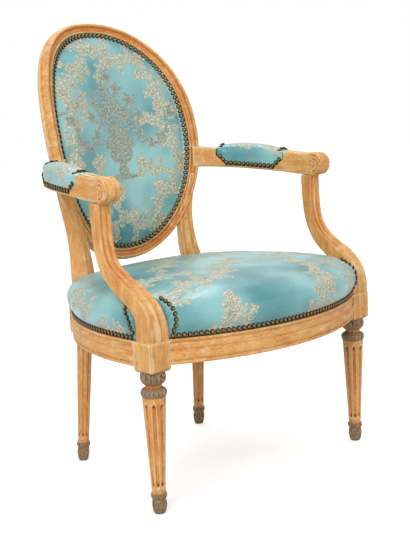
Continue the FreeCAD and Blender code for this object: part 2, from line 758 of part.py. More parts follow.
# The section of the oval frame, as points (out, behind); a third pair is the middle of an arc to that point.
FRAME_SECTION = [
    (0, rebate_drop), (0, 0.8), (5, 0.8, 2.5, -1.0), (5.4, 2.6), (frame_width - 6.5, 2.2, 10.5, 4.6),
    (frame_width - 6, 0.8), (frame_width, 2.6, frame_width - 2.6, -0.9), (frame_width, 6),
    (frame_width, 13, frame_width + 1.6, 9.5), (frame_width, frame_depth - 5),
    (frame_width - 4, frame_depth), (-frame_rebate, frame_depth), (-frame_rebate, rebate_drop)]


def section_wire(angle, section):
    """A section of the frame at an angle, from its points and arcs."""
    edges = []
    for before, after in zip(section, section[1:] + section[:1]):
        start = frame_point(angle, before[0], before[1])
        end = frame_point(angle, after[0], after[1])
        if len(after) == 4:
            edges.append(arc(start, frame_point(angle, after[2], after[3]), end))
        else:
            edges.append(Part.LineSegment(start, end).toShape())
    return Part.Wire(edges)


def frame_piece(start, end, step, section):
    """A stretch of the oval frame between two angles."""
    count = max(2, round(abs(end - start) / step))
    angles = [start + (end - start) * index / count for index in range(count + 1)]
    return Part.makeLoft([section_wire(angle, section) for angle in angles], True, False)


CREST_JOINT = -8.0
LOWER_JOINT = -54.0
TONGUE = 5.0


def tongue(joint, grow=0.0):
    """The tenon of one stretch of the frame in the next, or its mortise."""
    low, high = 4 - grow, 15 + grow
    front, back = 8 - grow, 18 + grow
    section = [(low, front), (high, front), (high, back), (low, back)]
    return frame_piece(joint - TONGUE - grow * 0.4, joint + TONGUE * 0.5, 2.5, section)


def frame_side():
    """The right side of the oval, down to the lower rail's joint, open to the two tenons."""
    side = frame_piece(LOWER_JOINT, CREST_JOINT, 7.5, FRAME_SECTION)
    return side


crest = frame_piece(CREST_JOINT, 180 - CREST_JOINT, 8.4, FRAME_SECTION)
crest_tongue = tongue(CREST_JOINT)
crest = fused([crest, crest_tongue, mirrored(crest_tongue)])
solid_feature("crest_rail", crest)


def lower_tongue(grow=0.0):
    """The lower rail's tenon in the right post, or its mortise."""
    section = [(4 - grow, 8 - grow), (15 + grow, 8 - grow), (15 + grow, 18 + grow), (4 - grow, 18 + grow)]
    return frame_piece(LOWER_JOINT - TONGUE * 0.5, LOWER_JOINT + TONGUE + grow * 0.4, 2.5, section)


lower_rail = frame_piece(LOWER_JOINT, -180 - LOWER_JOINT, 8.0, FRAME_SECTION)
lower_tenon = lower_tongue()
solid_feature("lower_back_rail", fused([lower_rail, lower_tenon, mirrored(lower_tenon)]))


# Rear posts: turned leg, block, stile and the side of the oval, in one piece of wood.

def turned(points, place, axis):
    """A turned solid from (radius, height) points, standing on a place and leaning along an axis."""
    wire = closed_wire([Vector(radius, 0, height) for radius, height in points])
    solid = Part.Face(wire).revolve(Vector(0, 0, 0), Vector(0, 0, 1), 360)
    solid.Placement = Placement(place, Rotation(Vector(0, 0, 1), axis))
    return solid


def rear_leg():
    """The turned and fluted rear leg, leaning out and back, with its sole cut level."""
    foot_place = Vector(
        float(post_x + size("rear_splay_out")), float(post_y + size("rear_splay_back")), 0)
    top_place = Vector(float(post_x), float(post_y), float(rail_bottom))
    axis = top_place - foot_place
    length = axis.Length
    capital = float(size("rear_leg_radius"))
    shaft_top = float(size("rear_shaft_radius"))
    shaft_foot = float(size("rear_foot_radius"))
    foot = float(size("foot_radius")) * 0.92
    foot_height = float(size("foot_height"))
    ring = float(size("foot_ring_radius")) * 0.92
    ring_height = float(size("foot_ring_height"))
    shaft_bottom = foot_height + ring_height + 4
    capital_bottom = length - 16
    sole = float(size("sole_radius"))
    points = [
        (0, -3), (sole - 0.6, -3), (sole, 0), (foot * 0.86, foot_height * 0.2), (foot, foot_height * 0.55),
        (foot * 0.97, foot_height * 0.8), (foot * 0.86, foot_height), (ring * 0.93, foot_height + 2),
        (ring, foot_height + ring_height * 0.35), (ring, foot_height + ring_height * 0.75),
        (ring * 0.92, foot_height + ring_height), (shaft_foot * 0.93, shaft_bottom - 2), (shaft_foot, shaft_bottom),
        (shaft_top, capital_bottom - 3), (shaft_top, capital_bottom), (capital * 0.95, capital_bottom + 3),
        (capital, capital_bottom + 7), (capital, capital_bottom + 11), (capital * 0.93, length),
        (capital * 0.9, length + 4), (0, length + 4)]
    leg = turned(points, foot_place, axis)
    slope = (shaft_top - shaft_foot) / (capital_bottom - 3 - shaft_bottom)
    low, high = shaft_bottom + 6, capital_bottom - 10
    depth = float(size("flute_depth")) * 0.8
    half = float(size("flute_width")) * 0.4
    outline = [
        Vector(shaft_foot + slope * 6 - depth, -half, low), Vector(shaft_foot + 8, -half, low),
        Vector(shaft_top + 8, -half, high), Vector(shaft_top - slope * 7 - depth, -half, high)]
    flute = prism(outline, Vector(0, 2 * half, 0))
    flutes = []
    count = int(float(size("flute_count")))
    for number in range(count):
        cutter = flute.copy()
        cutter.rotate(Vector(0, 0, 0), Vector(0, 0, 1), 360 * number / count)
        cutter.Placement = Placement(foot_place, Rotation(Vector(0, 0, 1), axis)).multiply(cutter.Placement)
        flutes.append(cutter)
    floor = corner_box(Vector(0, -900, -50), Vector(900, 900, 0))
    return leg.cut(flutes + [floor])


def stile_section(corner, turn, width, depth, grow=0.0):
    """A level section of the stile from its front outer corner: a rectangle, turned, with two grooves in front."""
    inwards = Vector(-math.cos(turn), math.sin(turn), 0)
    behind = Vector(math.sin(turn), math.cos(turn), 0)
    steps = [(0.0, 1.5), (0.04, 0.0), (0.2, 0.0), (0.24, 2.0), (0.3, 2.0), (0.36, 0.4), (0.64, 0.4), (0.7, 2.0)]
    steps += [(0.76, 2.0), (0.8, 0.0), (0.96, 0.0), (1.0, 1.5)]
    points = [corner + inwards * width * part + behind * drop for part, drop in steps]
    points += [corner + inwards * width + behind * depth, corner + behind * depth]
    if grow:
        left, front, right, back = -grow, -grow, width + grow, depth + grow
        points = [
            corner + inwards * across + behind * through
            for across, through in ((left, front), (right, front), (right, back), (left, back))]
    return closed_wire(points)


def back_front_y(x, height):
    """How far back the face of the curved back is, at an x and a height."""
    v = (height - back_origin.z) / math.cos(tilt)
    return back_origin.y + v * math.sin(tilt) - (back_radius - math.sqrt(back_radius ** 2 - x ** 2)) * math.cos(tilt)


def stile(grow=0.0):
    """The stretch of the post from its block up into the side of the oval, or the space it takes."""
    width, depth = float(size("stile_width")), float(size("stile_depth"))
    spread = float(size("stile_spread"))
    block_width, block_depth = 2 * float(half_post), 2 * float(half_post_depth)
    block_outer, block_front = float(post_x) + block_width / 2, float(post_y - half_post_depth)
    join = frame_point(-22.0, frame_width - 3, 0)
    bottom = float(upstand_top) - 6
    rise = join.z - bottom
    sections = []
    for part, narrowed, thinned, turned_by in (
            (0.0, 0.0, 0.0, 0.0), (0.095, 0.34, 0.1, 12.0), (0.187, 0.65, 0.5, 23.0), (0.266, 0.82, 1.0, 29.0)):
        height = bottom + rise * part
        outer = block_outer + (spread - block_outer) * narrowed
        front = block_front + (back_front_y(outer, height) + 1 - block_front) * min(narrowed / 0.82, 1.0)
        wide = block_width + (width - block_width) * thinned
        deep = block_depth + (depth - block_depth) * thinned
        corner = Vector(outer, front, height)
        sections.append(stile_section(corner, math.radians(turned_by), wide, deep, grow))
    for part, widened, width_part, depth_part in (
            (0.365, 0.05, 0.9, 0.95), (0.484, 0.0, 0.79, 0.88), (0.603, 0.06, 0.73, 0.84), (0.742, 0.32, 0.7, 0.8),
            (0.88, 0.7, 0.65, 0.75), (1.0, 1.0, 0.55, 0.68)):
        height = bottom + rise * part
        outer = spread + (join.x - spread) * widened
        turn = math.asin(outer * 0.92 / back_radius)
        corner = Vector(outer, back_front_y(outer, height) + 1, height)
        sections.append(stile_section(corner, turn, width * width_part, depth * depth_part, grow))
    return Part.makeLoft(sections, True, False)


def rear_post():
    """The right rear post."""
    block = corner_box(
        Vector(float(post_x - half_post), float(post_y - half_post_depth), float(rail_bottom)),
        Vector(float(post_x + half_post), float(post_y + half_post_depth), float(upstand_top)))
    post = fused([rear_leg(), block, stile(), frame_side()])
    grow = float(tenon_gap)
    mortises = [
        tongue(CREST_JOINT, grow), lower_tongue(grow), rail_tenon(*side_tenon_rear, grow), rail_tenon(*rear_tenon, grow)]
    return post.cut(mortises + right_pegs)


right_post = rear_post()


# Arm supports: a rectangular section with a fluted front, swept back and up in an S.

arm_height = float(size("arm_height"))
scroll_radius = float(size("scroll_radius"))
arm_bottom = arm_height - scroll_radius
support_outer = float(leg_x + half_block) - 1
support_width = float(size("support_width"))
support_top_width = float(size("support_top_width"))
support_sweep = float(size("support_sweep"))
scroll_x = support_outer - support_top_width / 2
scroll_y = float(leg_y) + support_sweep - 19.5
# The support's middle line: parts of the sweep and of the rise, half its depth, and how far it has narrowed.
SUPPORT_PATH = [
    (-0.043, 0.0, 19.0, 0.0), (-0.039, 0.09, 19.0, 0.05), (0.022, 0.202, 17.0, 0.25), (0.239, 0.303, 15.5, 0.5),
    (0.474, 0.370, 14.5, 0.7), (0.726, 0.457, 13.5, 0.9), (0.87, 0.546, 12.0, 1.0), (0.955, 0.66, 11.5, 1.0),
    (0.99, 0.808, 12.0, 1.0), (1.0, 0.95, 12.5, 1.0), (1.0, 1.0, 12.5, 1.0)]
support_top = arm_bottom + 0.6


def support_line(sweep, rise):
    """A point of the arm support's middle line, in its upright plane."""
    base = float(rail_top)
    return Vector(0, float(leg_y) + support_sweep * sweep, base + (support_top - base) * rise)


def support_stations():
    """The support's middle points with their directions, half depths and widths."""
    middles = [support_line(sweep, rise) for sweep, rise, _, _ in SUPPORT_PATH]
    stations = []
    for index, (_, _, half, narrowed) in enumerate(SUPPORT_PATH):
        before = middles[max(index - 1, 0)]
        after = middles[min(index + 1, len(middles) - 1)]
        direction = (after - before).normalize()
        if index in (0, len(middles) - 1):
            direction = Vector(0, 0, 1)
        width = support_width + (support_top_width - support_width) * narrowed
        stations.append((middles[index], direction, half, width))
    return stations


def support_section(middle, direction, half, width):
    """A section of the support across its line, with two flutes in its front face."""
    behind = Vector(0, direction.z, -direction.y)
    steps = [(0.0, 0.6), (0.03, 0.0), (0.2, 0.0), (0.24, 1.8), (0.31, 2.4), (0.38, 1.8), (0.42, 0.4), (0.58, 0.4)]
    steps += [(0.62, 1.8), (0.69, 2.4), (0.76, 1.8), (0.8, 0.0), (0.97, 0.0), (1.0, 0.6)]
    points = []
    for part, drop in steps:
        x = support_outer - width * (1 - part)
        points.append(Vector(x, 0, 0) + middle - behind * (half - drop))
    points.append(Vector(support_outer, 0, 0) + middle + behind * half)
    points.append(Vector(support_outer - width, 0, 0) + middle + behind * half)
    return closed_wire(points)


def support_space(reach):
    """The space in front of the support's rear line, that the seat's layers keep out of."""
    line = []
    for middle, direction, half, _ in support_stations():
        behind = Vector(0, direction.z, -direction.y)
        line.append(middle + behind * (half + reach))
    low = Vector(0, line[0].y, float(rail_bottom) - 40)
    front = -float(front_reach) - 60
    points = [low] + line + [Vector(0, front, line[-1].z), Vector(0, front, low.z)]
    inner = support_outer - support_width - reach
    points = [Vector(inner, point.y, point.z) for point in points]
    return prism(points, Vector(200, 0, 0))


def arm_support():
    """The right arm support, with a tenon down into its leg block and one up into its arm."""
    body = Part.makeLoft([support_section(*station) for station in support_stations()], True, False)
    foot = support_stations()[0][0]
    half = float(support_tenon_half)
    tenon_low = corner_box(
        Vector(float(leg_x) - half, float(leg_y) - half, float(upstand_top - support_tenon_length)),
        Vector(float(leg_x) + half, float(leg_y) + half, foot.z + 30))
    notch = corner_box(
        Vector(block_heart_low.x, block_heart_low.y, float(rail_top) - 1),
        Vector(block_heart_high.x, block_heart_high.y, float(upstand_top)))
    body = body.cut(notch)
    return fused([body, tenon_low, arm_tenon()])


block_heart_low = Vector(
    float(leg_x - half_block + rebate_depth), float(leg_y - half_block + rebate_depth), 0)
block_heart_high = Vector(
    float(leg_x + half_block - rebate_depth), float(leg_y + half_block - rebate_depth), 0)


def arm_tenon(grow=0.0):
    """The tenon at the top of the support, or its mortise in the arm."""
    top = support_stations()[-1][0]
    half = 7.0 + grow
    return corner_box(
        Vector(scroll_x - half, top.y - half, top.z - 12), Vector(scroll_x + half, top.y + half, top.z + 20 + grow))


right_support = arm_support()
for side_name, side_sign in SIDES:
    solid_feature(f"{side_name}_arm_support", on_side(right_support, side_sign))


# Arms: a moulded bar that leaves the post outwards, turns forwards under its pad and ends in a scroll.

arm_root_v = (arm_height + 20 - back_origin.z) / math.cos(tilt)
arm_root_angle = -math.degrees(math.asin(abs(arm_root_v / oval_b) ** (1 / OVAL_POWER)))
arm_root = frame_point(arm_root_angle, 9, 12)
# The arm's plan line, as parts of the way across and forwards from the post to the scroll.
ARM_PLAN = [
    (0.0, 0.0), (0.26, 0.085), (0.48, 0.2), (0.655, 0.35), (0.78, 0.52), (0.885, 0.7), (0.96, 0.86), (1.0, 1.0)]
PAD_START, PAD_END = 0.19, 0.755
PAD_RAMP = 0.085
# The arm's underside, as parts of its climb.
ARM_CLIMB = [
    (0.0, 1.0), (0.129, 0.95), (0.257, 0.86), (0.406, 0.74), (0.565, 0.58), (0.728, 0.37), (0.877, 0.12), (1.0, 0.0)]


def arm_line():
    """The smooth plan line of the right arm."""
    points = []
    for across, forwards in ARM_PLAN:
        points.append(Vector(
            arm_root.x + (scroll_x - arm_root.x) * across, arm_root.y + (scroll_y - arm_root.y) * forwards, 0))
    curve = Part.BSplineCurve()
    curve.interpolate(points)
    return curve


arm_curve = arm_line()
arm_length = arm_curve.length()


def arm_station(part):
    """Middle, forward direction, sideways direction and underside of the arm at a part of its length."""
    turn = arm_curve.parameterAtDistance(arm_length * min(max(part, 0.0), 1.0))
    middle = arm_curve.value(turn)
    forwards = Vector(*arm_curve.tangent(turn)[0]).normalize()
    outwards = Vector(-forwards.y, forwards.x, 0)
    if outwards.x < 0:
        outwards = outwards * -1
    underside = arm_bottom + float(size("arm_climb")) * blend(part, ARM_CLIMB)
    return middle, forwards, outwards, underside


def arm_width(part):
    """The arm's width at a part of its length."""
    pad_width, end_width = float(size("arm_pad_width")), float(size("scroll_width"))
    return blend(part, [
        (0.0, end_width * 0.95), (PAD_START - 0.07, pad_width * 0.82), (PAD_START, pad_width * 0.93), (0.35, pad_width),
        (0.6, pad_width * 0.97), (PAD_END, pad_width * 0.86), (0.86, end_width * 1.02), (1.0, end_width)])


def arm_top(part):
    """The height of the arm's wood over its underside at a part of its length."""
    tail, wood = float(size("arm_tail")), float(size("arm_wood"))
    return blend(part, [
        (0.0, tail), (PAD_START - 0.06, tail * 0.9), (PAD_START, tail * 0.9), (PAD_START + PAD_RAMP, wood),
        (PAD_END - PAD_RAMP, wood), (PAD_END, scroll_radius * 1.86), (0.86, scroll_radius * 1.88),
        (1.0, scroll_radius * 2)])


def arm_rebate(part):
    """How far the arm's upper edge is set in for the pad's cover."""
    return blend(part, [(PAD_START - 0.01, 0.0), (PAD_START + 0.01, 3.0), (PAD_END - 0.01, 3.0), (PAD_END + 0.01, 0.0)])


NAIL_SHELF = 16.0


def arm_section(part):
    """A section of the arm across its line."""
    middle, _, outwards, underside = arm_station(part)
    half = arm_width(part) / 2
    top = arm_top(part)
    shelf = top - NAIL_SHELF
    inset = arm_rebate(part)
    side = [
        (half - 6, 0), (half - 1.5, 1.6), (half, 4), (half, shelf), (half - inset, shelf + 0.5),
        (half - inset, top - 3.5), (half - inset - 3, top)]
    points = side + [(-across, up) for across, up in reversed(side)]
    return closed_wire([middle + outwards * across + Vector(0, 0, underside + up) for across, up in points])


def arm_scroll():
    """The scroll at the hand end: a short drum across the arm, with a raised ring on each end."""
    middle, _, outwards, _ = arm_station(1.0)
    half = float(size("scroll_width")) / 2
    centre = Vector(middle.x, middle.y, arm_height)
    drum = Part.makeCylinder(scroll_radius, 2 * half, centre - outwards * half, outwards)
    button = Part.makeCylinder(scroll_radius * 0.42, 2 * half + 3, centre - outwards * (half + 1.5), outwards)
    return drum.fuse(button)


def arm():
    """The right arm."""
    parts = [0.0, 0.05, 0.11, PAD_START - 0.01, PAD_START + 0.01, PAD_START + PAD_RAMP, 0.35, 0.44, 0.53, 0.61]
    parts += [PAD_END - PAD_RAMP, PAD_END - 0.01, PAD_END + 0.01, 0.82, 0.88, 0.95, 1.0]
    bar = Part.makeLoft([arm_section(part) for part in parts], True, True)
    solid = fused([bar, arm_scroll()])
    solid = solid.cut([right_post, arm_tenon(float(tenon_gap)), right_support])
    return max(solid.Solids, key=lambda piece: piece.Volume)


right_arm = arm()
for side_name, side_sign in SIDES:
    solid_feature(f"rear_{side_name}_post", on_side(right_post, side_sign))
    solid_feature(f"{side_name}_arm", on_side(right_arm, side_sign))


# Arm pads: stuffing crowned over the arm's wood, and a cover drawn over it and down its sides.

def pad_crown(part):
    """The height of the pad's middle over the arm's underside."""
    fullness = 1 - abs((part - PAD_START) / (PAD_END - PAD_START) * 2 - 1) ** 2.5
    rise = float(size("pad_rise"))
    return float(size("arm_wood")) + rise * (0.72 + 0.28 * max(fullness, 0.0))


def pad_section(part, reach, lift, skirt):
    """A crowned section of an arm pad: straight sides from the skirt up, then an arc over the top."""
    middle, _, outwards, underside = arm_station(part)
    half = arm_width(part) / 2 - arm_rebate(part) + reach
    low = underside + arm_top(part) + skirt
    peak = max(underside + pad_crown(part) + lift, low + 1.5)
    base = max(min(underside + arm_top(part), peak - 1.0), low)
    shoulder = max(base + (peak - base) * 0.4, low + 0.5)
    low_left = middle - outwards * half + Vector(0, 0, low)
    low_right = middle + outwards * half + Vector(0, 0, low)
    high_left = middle - outwards * (half + 1.2) + Vector(0, 0, shoulder)
    high_right = middle + outwards * (half + 1.2) + Vector(0, 0, shoulder)
    edges = [
        Part.LineSegment(low_right, low_left).toShape(), Part.LineSegment(low_left, high_left).toShape(),
        arc(high_left, middle + Vector(0, 0, peak), high_right), Part.LineSegment(high_right, low_right).toShape()]
    return Part.Wire(edges)


def pad_loft(reach, lift, skirt, trim):
    """A lofted arm pad between the ends of the arm's rebate."""
    start, end = PAD_START + 0.012 + trim, PAD_END - 0.012 - trim
    ramp_start, ramp_end = PAD_START + PAD_RAMP, PAD_END - PAD_RAMP
    parts = [start, (start + ramp_start) / 2, ramp_start]
    parts += [ramp_start + (ramp_end - ramp_start) * index / 5 for index in range(1, 5)]
    parts += [ramp_end, (end + ramp_end) / 2, end]
    return Part.makeLoft([pad_section(part, reach, lift, skirt) for part in parts], True, True)


cover = float(size("cover_thickness"))
gap = float(soft_gap)
arm_stuffing = pad_loft(-cover - gap, -cover - gap, gap, 0.022)
arm_cover_outside = pad_loft(cover + gap, 0.0, -NAIL_SHELF + 1.0, 0.0)
arm_cover_inside = pad_loft(gap, -cover, -60.0, 0.01)
arm_cover = arm_cover_outside.cut([arm_cover_inside, right_arm])
arm_cover = max(arm_cover.Solids, key=lambda piece: piece.Volume)
for side_name, side_sign in SIDES:
    solid_feature(f"{side_name}_arm_stuffing", on_side(arm_stuffing, side_sign))
    solid_feature(f"{side_name}_arm_cover", on_side(arm_cover, side_sign))


# The seat's layers: webbing, hessian, stuffing and cover, each following the rails' plan.

web_width = float(size("web_width"))
web_thickness = float(size("web_thickness"))
layer_gap = 0.3
web_bottom = float(upstand_top) + layer_gap


def corner_spaces(reach):
    """The spaces of the supports and of the rear posts, with a gap round them."""
    support = support_space(reach)
    post = corner_box(
        Vector(float(post_x - half_post) - reach, float(post_y - half_post_depth) - reach, float(rail_bottom) - 20),
        Vector(float(post_x) + 300, float(post_y) + 300, arm_height))
    stile_space = stile(reach)
    return [support, mirrored(support), post, mirrored(post), stile_space, mirrored(stile_space)]


def seat_layer(inset, bottom, thickness):
    """A flat layer over the whole seat."""
    return Part.Face(plan_wire(-inset, bottom)).extrude(Vector(0, 0, thickness)).cut(corner_spaces(gap + 2))


def seat_webbing():
    """Straps across the seat, and straps from front to back laid over them."""
    sheet_across = seat_layer(float(rebate_depth) + 3, web_bottom, web_thickness)
    sheet_along = seat_layer(float(rebate_depth) + 3, web_bottom + web_thickness + layer_gap, web_thickness)
    pitch = web_width * 1.55
    across_count = int(float(size("seat_depth")) / pitch)
    along_count = int(float(leg_x) * 2 / pitch)
    straps = []
    middle_y = (float(leg_y) + float(post_y)) / 2 - 20
    for number in range(across_count):
        y = middle_y + (number - (across_count - 1) / 2) * pitch
        band = corner_box(
            Vector(-900, y - web_width / 2, web_bottom - 5), Vector(900, y + web_width / 2, web_bottom + 20))
        straps += sheet_across.common(band).Solids
    for number in range(along_count):
        x = (number - (along_count - 1) / 2) * pitch
        band = corner_box(
            Vector(x - web_width / 2, -900, web_bottom - 5), Vector(x + web_width / 2, 900, web_bottom + 20))
        straps += sheet_along.common(band).Solids
    return Part.makeCompound(straps)


solid_feature("seat_webbing", seat_webbing())
hessian_bottom = web_bottom + 2 * (web_thickness + layer_gap)
HESSIAN_THICKNESS = 0.9
solid_feature("seat_hessian", seat_layer(float(rebate_depth) + 10, hessian_bottom, HESSIAN_THICKNESS))

# The seat's outer form: parts of its rise, and how far out from the rails' line it is there.
SEAT_FORM = [
    (0.004, -4.2, 0.0), (0.13, -3.7, 0.0), (0.17, -3.0, 0.25), (0.22, -1.6, 0.55), (0.3, -0.4, 0.9), (0.4, 0.0, 1.0),
    (0.5, -0.6, 1.0), (0.59, -2.6, 0.9), (0.68, -7.4, 0.6), (0.76, -17.0, 0.2), (0.83, -32.0, 0.0), (0.9, -58.0, 0.0),
    (0.955, -92.0, 0.0), (0.985, -128.0, 0.0), (1.0, -168.0, 0.0)]
seat_rise = float(size("seat_rise"))
seat_swell = float(size("seat_swell"))


def seat_form(inset, first=0, bottom=None):
    """The crowned seat, drawn in all over by an inset; the first sections can be left out."""
    wires = []
    for part, out, swollen in SEAT_FORM[first:]:
        height = float(rail_top) + seat_rise * part
        if part > 0.5:
            height -= inset * (part - 0.5) * 2
        wires.append((height, out + seat_swell * swollen - inset))
    if bottom is not None:
        wires[0] = (bottom, wires[0][1])
    return Part.makeLoft([plan_wire(out, height) for height, out in wires], True, True)


stuffing_bottom = hessian_bottom + HESSIAN_THICKNESS + layer_gap
spaces = corner_spaces(gap)
seat_stuffing = seat_form(cover + gap, first=3, bottom=stuffing_bottom).cut(corner_spaces(gap + cover))
seat_stuffing = max(seat_stuffing.Solids, key=lambda piece: piece.Volume)
solid_feature("seat_stuffing", seat_stuffing)
seat_cover = seat_form(0.0).cut([seat_form(cover, bottom=float(rail_top) - 5)] + spaces)
seat_cover = max(seat_cover.Solids, key=lambda piece: piece.Volume)
solid_feature("seat_cover", seat_cover)


# The back's layers: webbing, hessian, stuffing and cover on the curved back, and the outer cover behind.

def curved_sheet(behind, thickness, reach):
    """A curved sheet that fills the oval, a depth behind the frame's face."""
    long = oval_b * 2 + 100
    foot = back_origin - back_behind * back_radius - back_up * (long / 2)
    shell = Part.makeCylinder(back_radius + behind + thickness, long, foot, back_up).cut(
        Part.makeCylinder(back_radius + behind, long, foot, back_up))
    corners = []
    for number in range(48):
        x, v = oval_plane(number * 7.5, reach)
        corners.append(back_origin + Vector(x, 0, 0) + back_up * v - back_behind * back_radius * 0.8)
    outline = Part.BSplineCurve()
    outline.interpolate(corners, PeriodicFlag=True)
    column = Part.Face(Part.Wire(outline.toShape())).extrude(back_behind * back_radius * 1.2)
    return shell.common(column)


BACK_WEB_THICKNESS = 1.0
hessian_behind = rebate_drop - layer_gap - BACK_WEB_THICKNESS - layer_gap - 0.8


def back_webbing():
    """Straps up and across the oval."""
    web = curved_sheet(rebate_drop - layer_gap - BACK_WEB_THICKNESS, BACK_WEB_THICKNESS, -2.5)
    spacing = web_width * 1.5
    upright = []
    for number in (-1, 0, 1):
        x = number * spacing
        upright.append(corner_box(Vector(x - web_width / 2, -900, 0), Vector(x + web_width / 2, 900, 2000)))
    level = []
    for number in (-1, 0, 1):
        centre = back_origin + back_up * (number * spacing * 1.25)
        corners = [
            centre - back_up * web_width / 2 - back_behind * 400, centre + back_up * web_width / 2 - back_behind * 400,
            centre + back_up * web_width / 2 + back_behind * 400, centre - back_up * web_width / 2 + back_behind * 400]
        corners = [point - Vector(500, 0, 0) for point in corners]
        level.append(prism(corners, Vector(1000, 0, 0)))
    bands = upright[0].fuse(upright[1:] + level)
    return web.common(bands)


solid_feature("back_webbing", back_webbing())
solid_feature("back_hessian", curved_sheet(hessian_behind, 0.8, -3.0))
solid_feature("outer_back_cover", curved_sheet(frame_depth + layer_gap, cover, frame_width * 0.25))


def oval_half_at(v, reach):
    """Half the oval's width at a height on the back, with the oval drawn in or out by a reach."""
    a, b = oval_a + reach, oval_b + reach
    up = min(abs(v) / b, 0.9999) ** (1 / OVAL_POWER)
    return a * math.sqrt(1 - up * up) ** OVAL_POWER * (1 + OVAL_EGG * math.copysign(up, v))


NAIL_MARGIN = 11.0


def back_slice(v, reach, floor, edge, crown):
    """A level slice of the back's pad: a curved floor, flat margins under the nails and a front that swells."""
    half = oval_half_at(v, reach)
    margin = min(NAIL_MARGIN, half * 0.2)
    inner_b = oval_b + reach - NAIL_MARGIN
    swell = edge + 0.6 + (crown - edge) * math.sqrt(max(1 - (v / inner_b) ** 2, 0.0))
    shoulder = min(26.0, half * 0.35)
    front = edge + (swell - edge) * 0.6
    roll = edge + (front - edge) * 0.68
    edges = [arc(on_back(-half, v, floor), on_back(0, v, floor), on_back(half, v, floor))]
    right = [(half, -edge), (half - margin, -edge - 0.2), (half - margin - shoulder, -front)]
    edges.append(Part.LineSegment(on_back(half, v, floor), on_back(half, v, -edge)).toShape())
    edges.append(Part.LineSegment(on_back(half, v, -edge), on_back(half - margin, v, -edge - 0.2)).toShape())
    turn, rise = half - margin - shoulder * 0.4, -roll
    edges.append(arc(on_back(*at(right[1], v)), on_back(turn, v, rise), on_back(*at(right[2], v))))
    edges.append(arc(on_back(*at(right[2], v)), on_back(0, v, -swell), on_back(-right[2][0], v, right[2][1])))
    edges.append(arc(
        on_back(-right[2][0], v, right[2][1]), on_back(-turn, v, rise), on_back(-right[1][0], v, right[1][1])))
    edges.append(Part.LineSegment(
        on_back(-right[1][0], v, right[1][1]), on_back(-half, v, -edge)).toShape())
    edges.append(Part.LineSegment(on_back(-half, v, -edge), on_back(-half, v, floor)).toShape())
    return Part.Wire(edges)


def at(corner, v):
    """A slice's corner as the back's own three numbers."""
    return corner[0], v, corner[1]


def back_pad(reach, floor, edge, crown):
    """The crowned pad of the back, lofted from level slices."""
    slices = []
    half = (0.1, 0.3, 0.5, 0.68, 0.8, 0.88, 0.93, 0.955, 0.985)
    for part in [-part for part in reversed(half)] + list(half):
        slices.append(back_slice(part * (oval_b + reach), reach, floor, edge, crown))
    return Part.makeLoft(slices, True, True)


back_crown = float(size("back_crown"))
stuffing_floor = hessian_behind - layer_gap
back_cover_floor = stuffing_floor - 0.1
solid_feature("back_stuffing", back_pad(-11.0, stuffing_floor, 3.0, back_crown - cover - gap))
back_cover = back_pad(-0.6, stuffing_floor, 0.8, back_crown).cut(
    back_pad(-11.0 + gap, stuffing_floor + 8, 3.0 + gap, back_crown - cover))
solid_feature("back_cover", max(back_cover.Solids, key=lambda piece: piece.Volume))


# Nails: low domed heads, close together along every edge of the covers.

nail_radius = float(size("nail_radius"))
nail_height = float(size("nail_height"))
nail_pitch = float(size("nail_pitch"))
dome_radius = (nail_radius ** 2 + nail_height ** 2) / (2 * nail_height)
dome_edge = math.degrees(math.asin((dome_radius - nail_height) / dome_radius))
dome = Part.makeSphere(dome_radius, Vector(0, 0, 0), Vector(0, 0, 1), dome_edge, 90, 360)
dome.translate(Vector(0, 0, nail_height - dome_radius))


def nail(place, outwards):
    """A nail's head on a place, facing outwards."""
    head = dome.copy()
    head.Placement = Placement(place + outwards * 0.15, Rotation(Vector(0, 0, 1), outwards)).multiply(dome.Placement)
    return head


def along(points, pitch=None):
    """Places at an even pitch along a run of points."""
    pitch = pitch or nail_pitch
    lengths = [0.0]
    for before, after in zip(points[:-1], points[1:]):
        lengths.append(lengths[-1] + (after - before).Length)
    count = max(2, round(lengths[-1] / pitch) + 1)
    places = []
    for number in range(count):
        wanted = lengths[-1] * number / (count - 1)
        index = 0
        while index < len(lengths) - 2 and lengths[index + 1] < wanted:
            index += 1
        span = lengths[index + 1] - lengths[index] or 1.0
        places.append(points[index] + (points[index + 1] - points[index]) * ((wanted - lengths[index]) / span))
    return places


nail_level = float(rail_top) + nail_radius + 1.4
nail_out = -4.0


def seat_nails():
    """The rows along the four rails."""
    nails = []
    reach = float(block_inner_x) - nail_radius - 1
    run = [front_point(-reach + 2 * reach * index / 60, nail_out) for index in range(61)]
    for place in along(run):
        outwards = (place - front_centre).normalize()
        nails.append(nail(place + Vector(0, 0, nail_level), outwards))
    start = float(leg_y) + float(half_block) + nail_radius + 0.5
    end = float(post_y - half_post_depth) - nail_radius - 1
    run = [side_point(start + (end - start) * index / 60, nail_out) for index in range(61)]
    for place in along(run):
        outwards = (place - side_centre).normalize()
        head = nail(place + Vector(0, 0, nail_level), outwards)
        nails += [head, mirrored(head)]
    reach = float(post_x - half_post) - nail_radius - 1
    run = [rear_point(-reach + 2 * reach * index / 60, nail_out) for index in range(61)]
    for place in along(run):
        outwards = (place - rear_centre).normalize()
        nails.append(nail(place + Vector(0, 0, nail_level), outwards))
    return Part.makeCompound(nails)


solid_feature("seat_nails", seat_nails())


def seat_surface_offset(height):
    """How far out the seat's cover is at a height."""
    table = [(float(rail_top) + seat_rise * part, out + seat_swell * swollen) for part, out, swollen in SEAT_FORM]
    return blend(height, table)


def support_rear_y(height):
    """How far back the support's rear line is at a height."""
    line = []
    for middle, direction, half, _ in support_stations():
        point = middle + Vector(0, direction.z, -direction.y) * half
        line.append((point.z, point.y))
    line.sort()
    return blend(height, line)


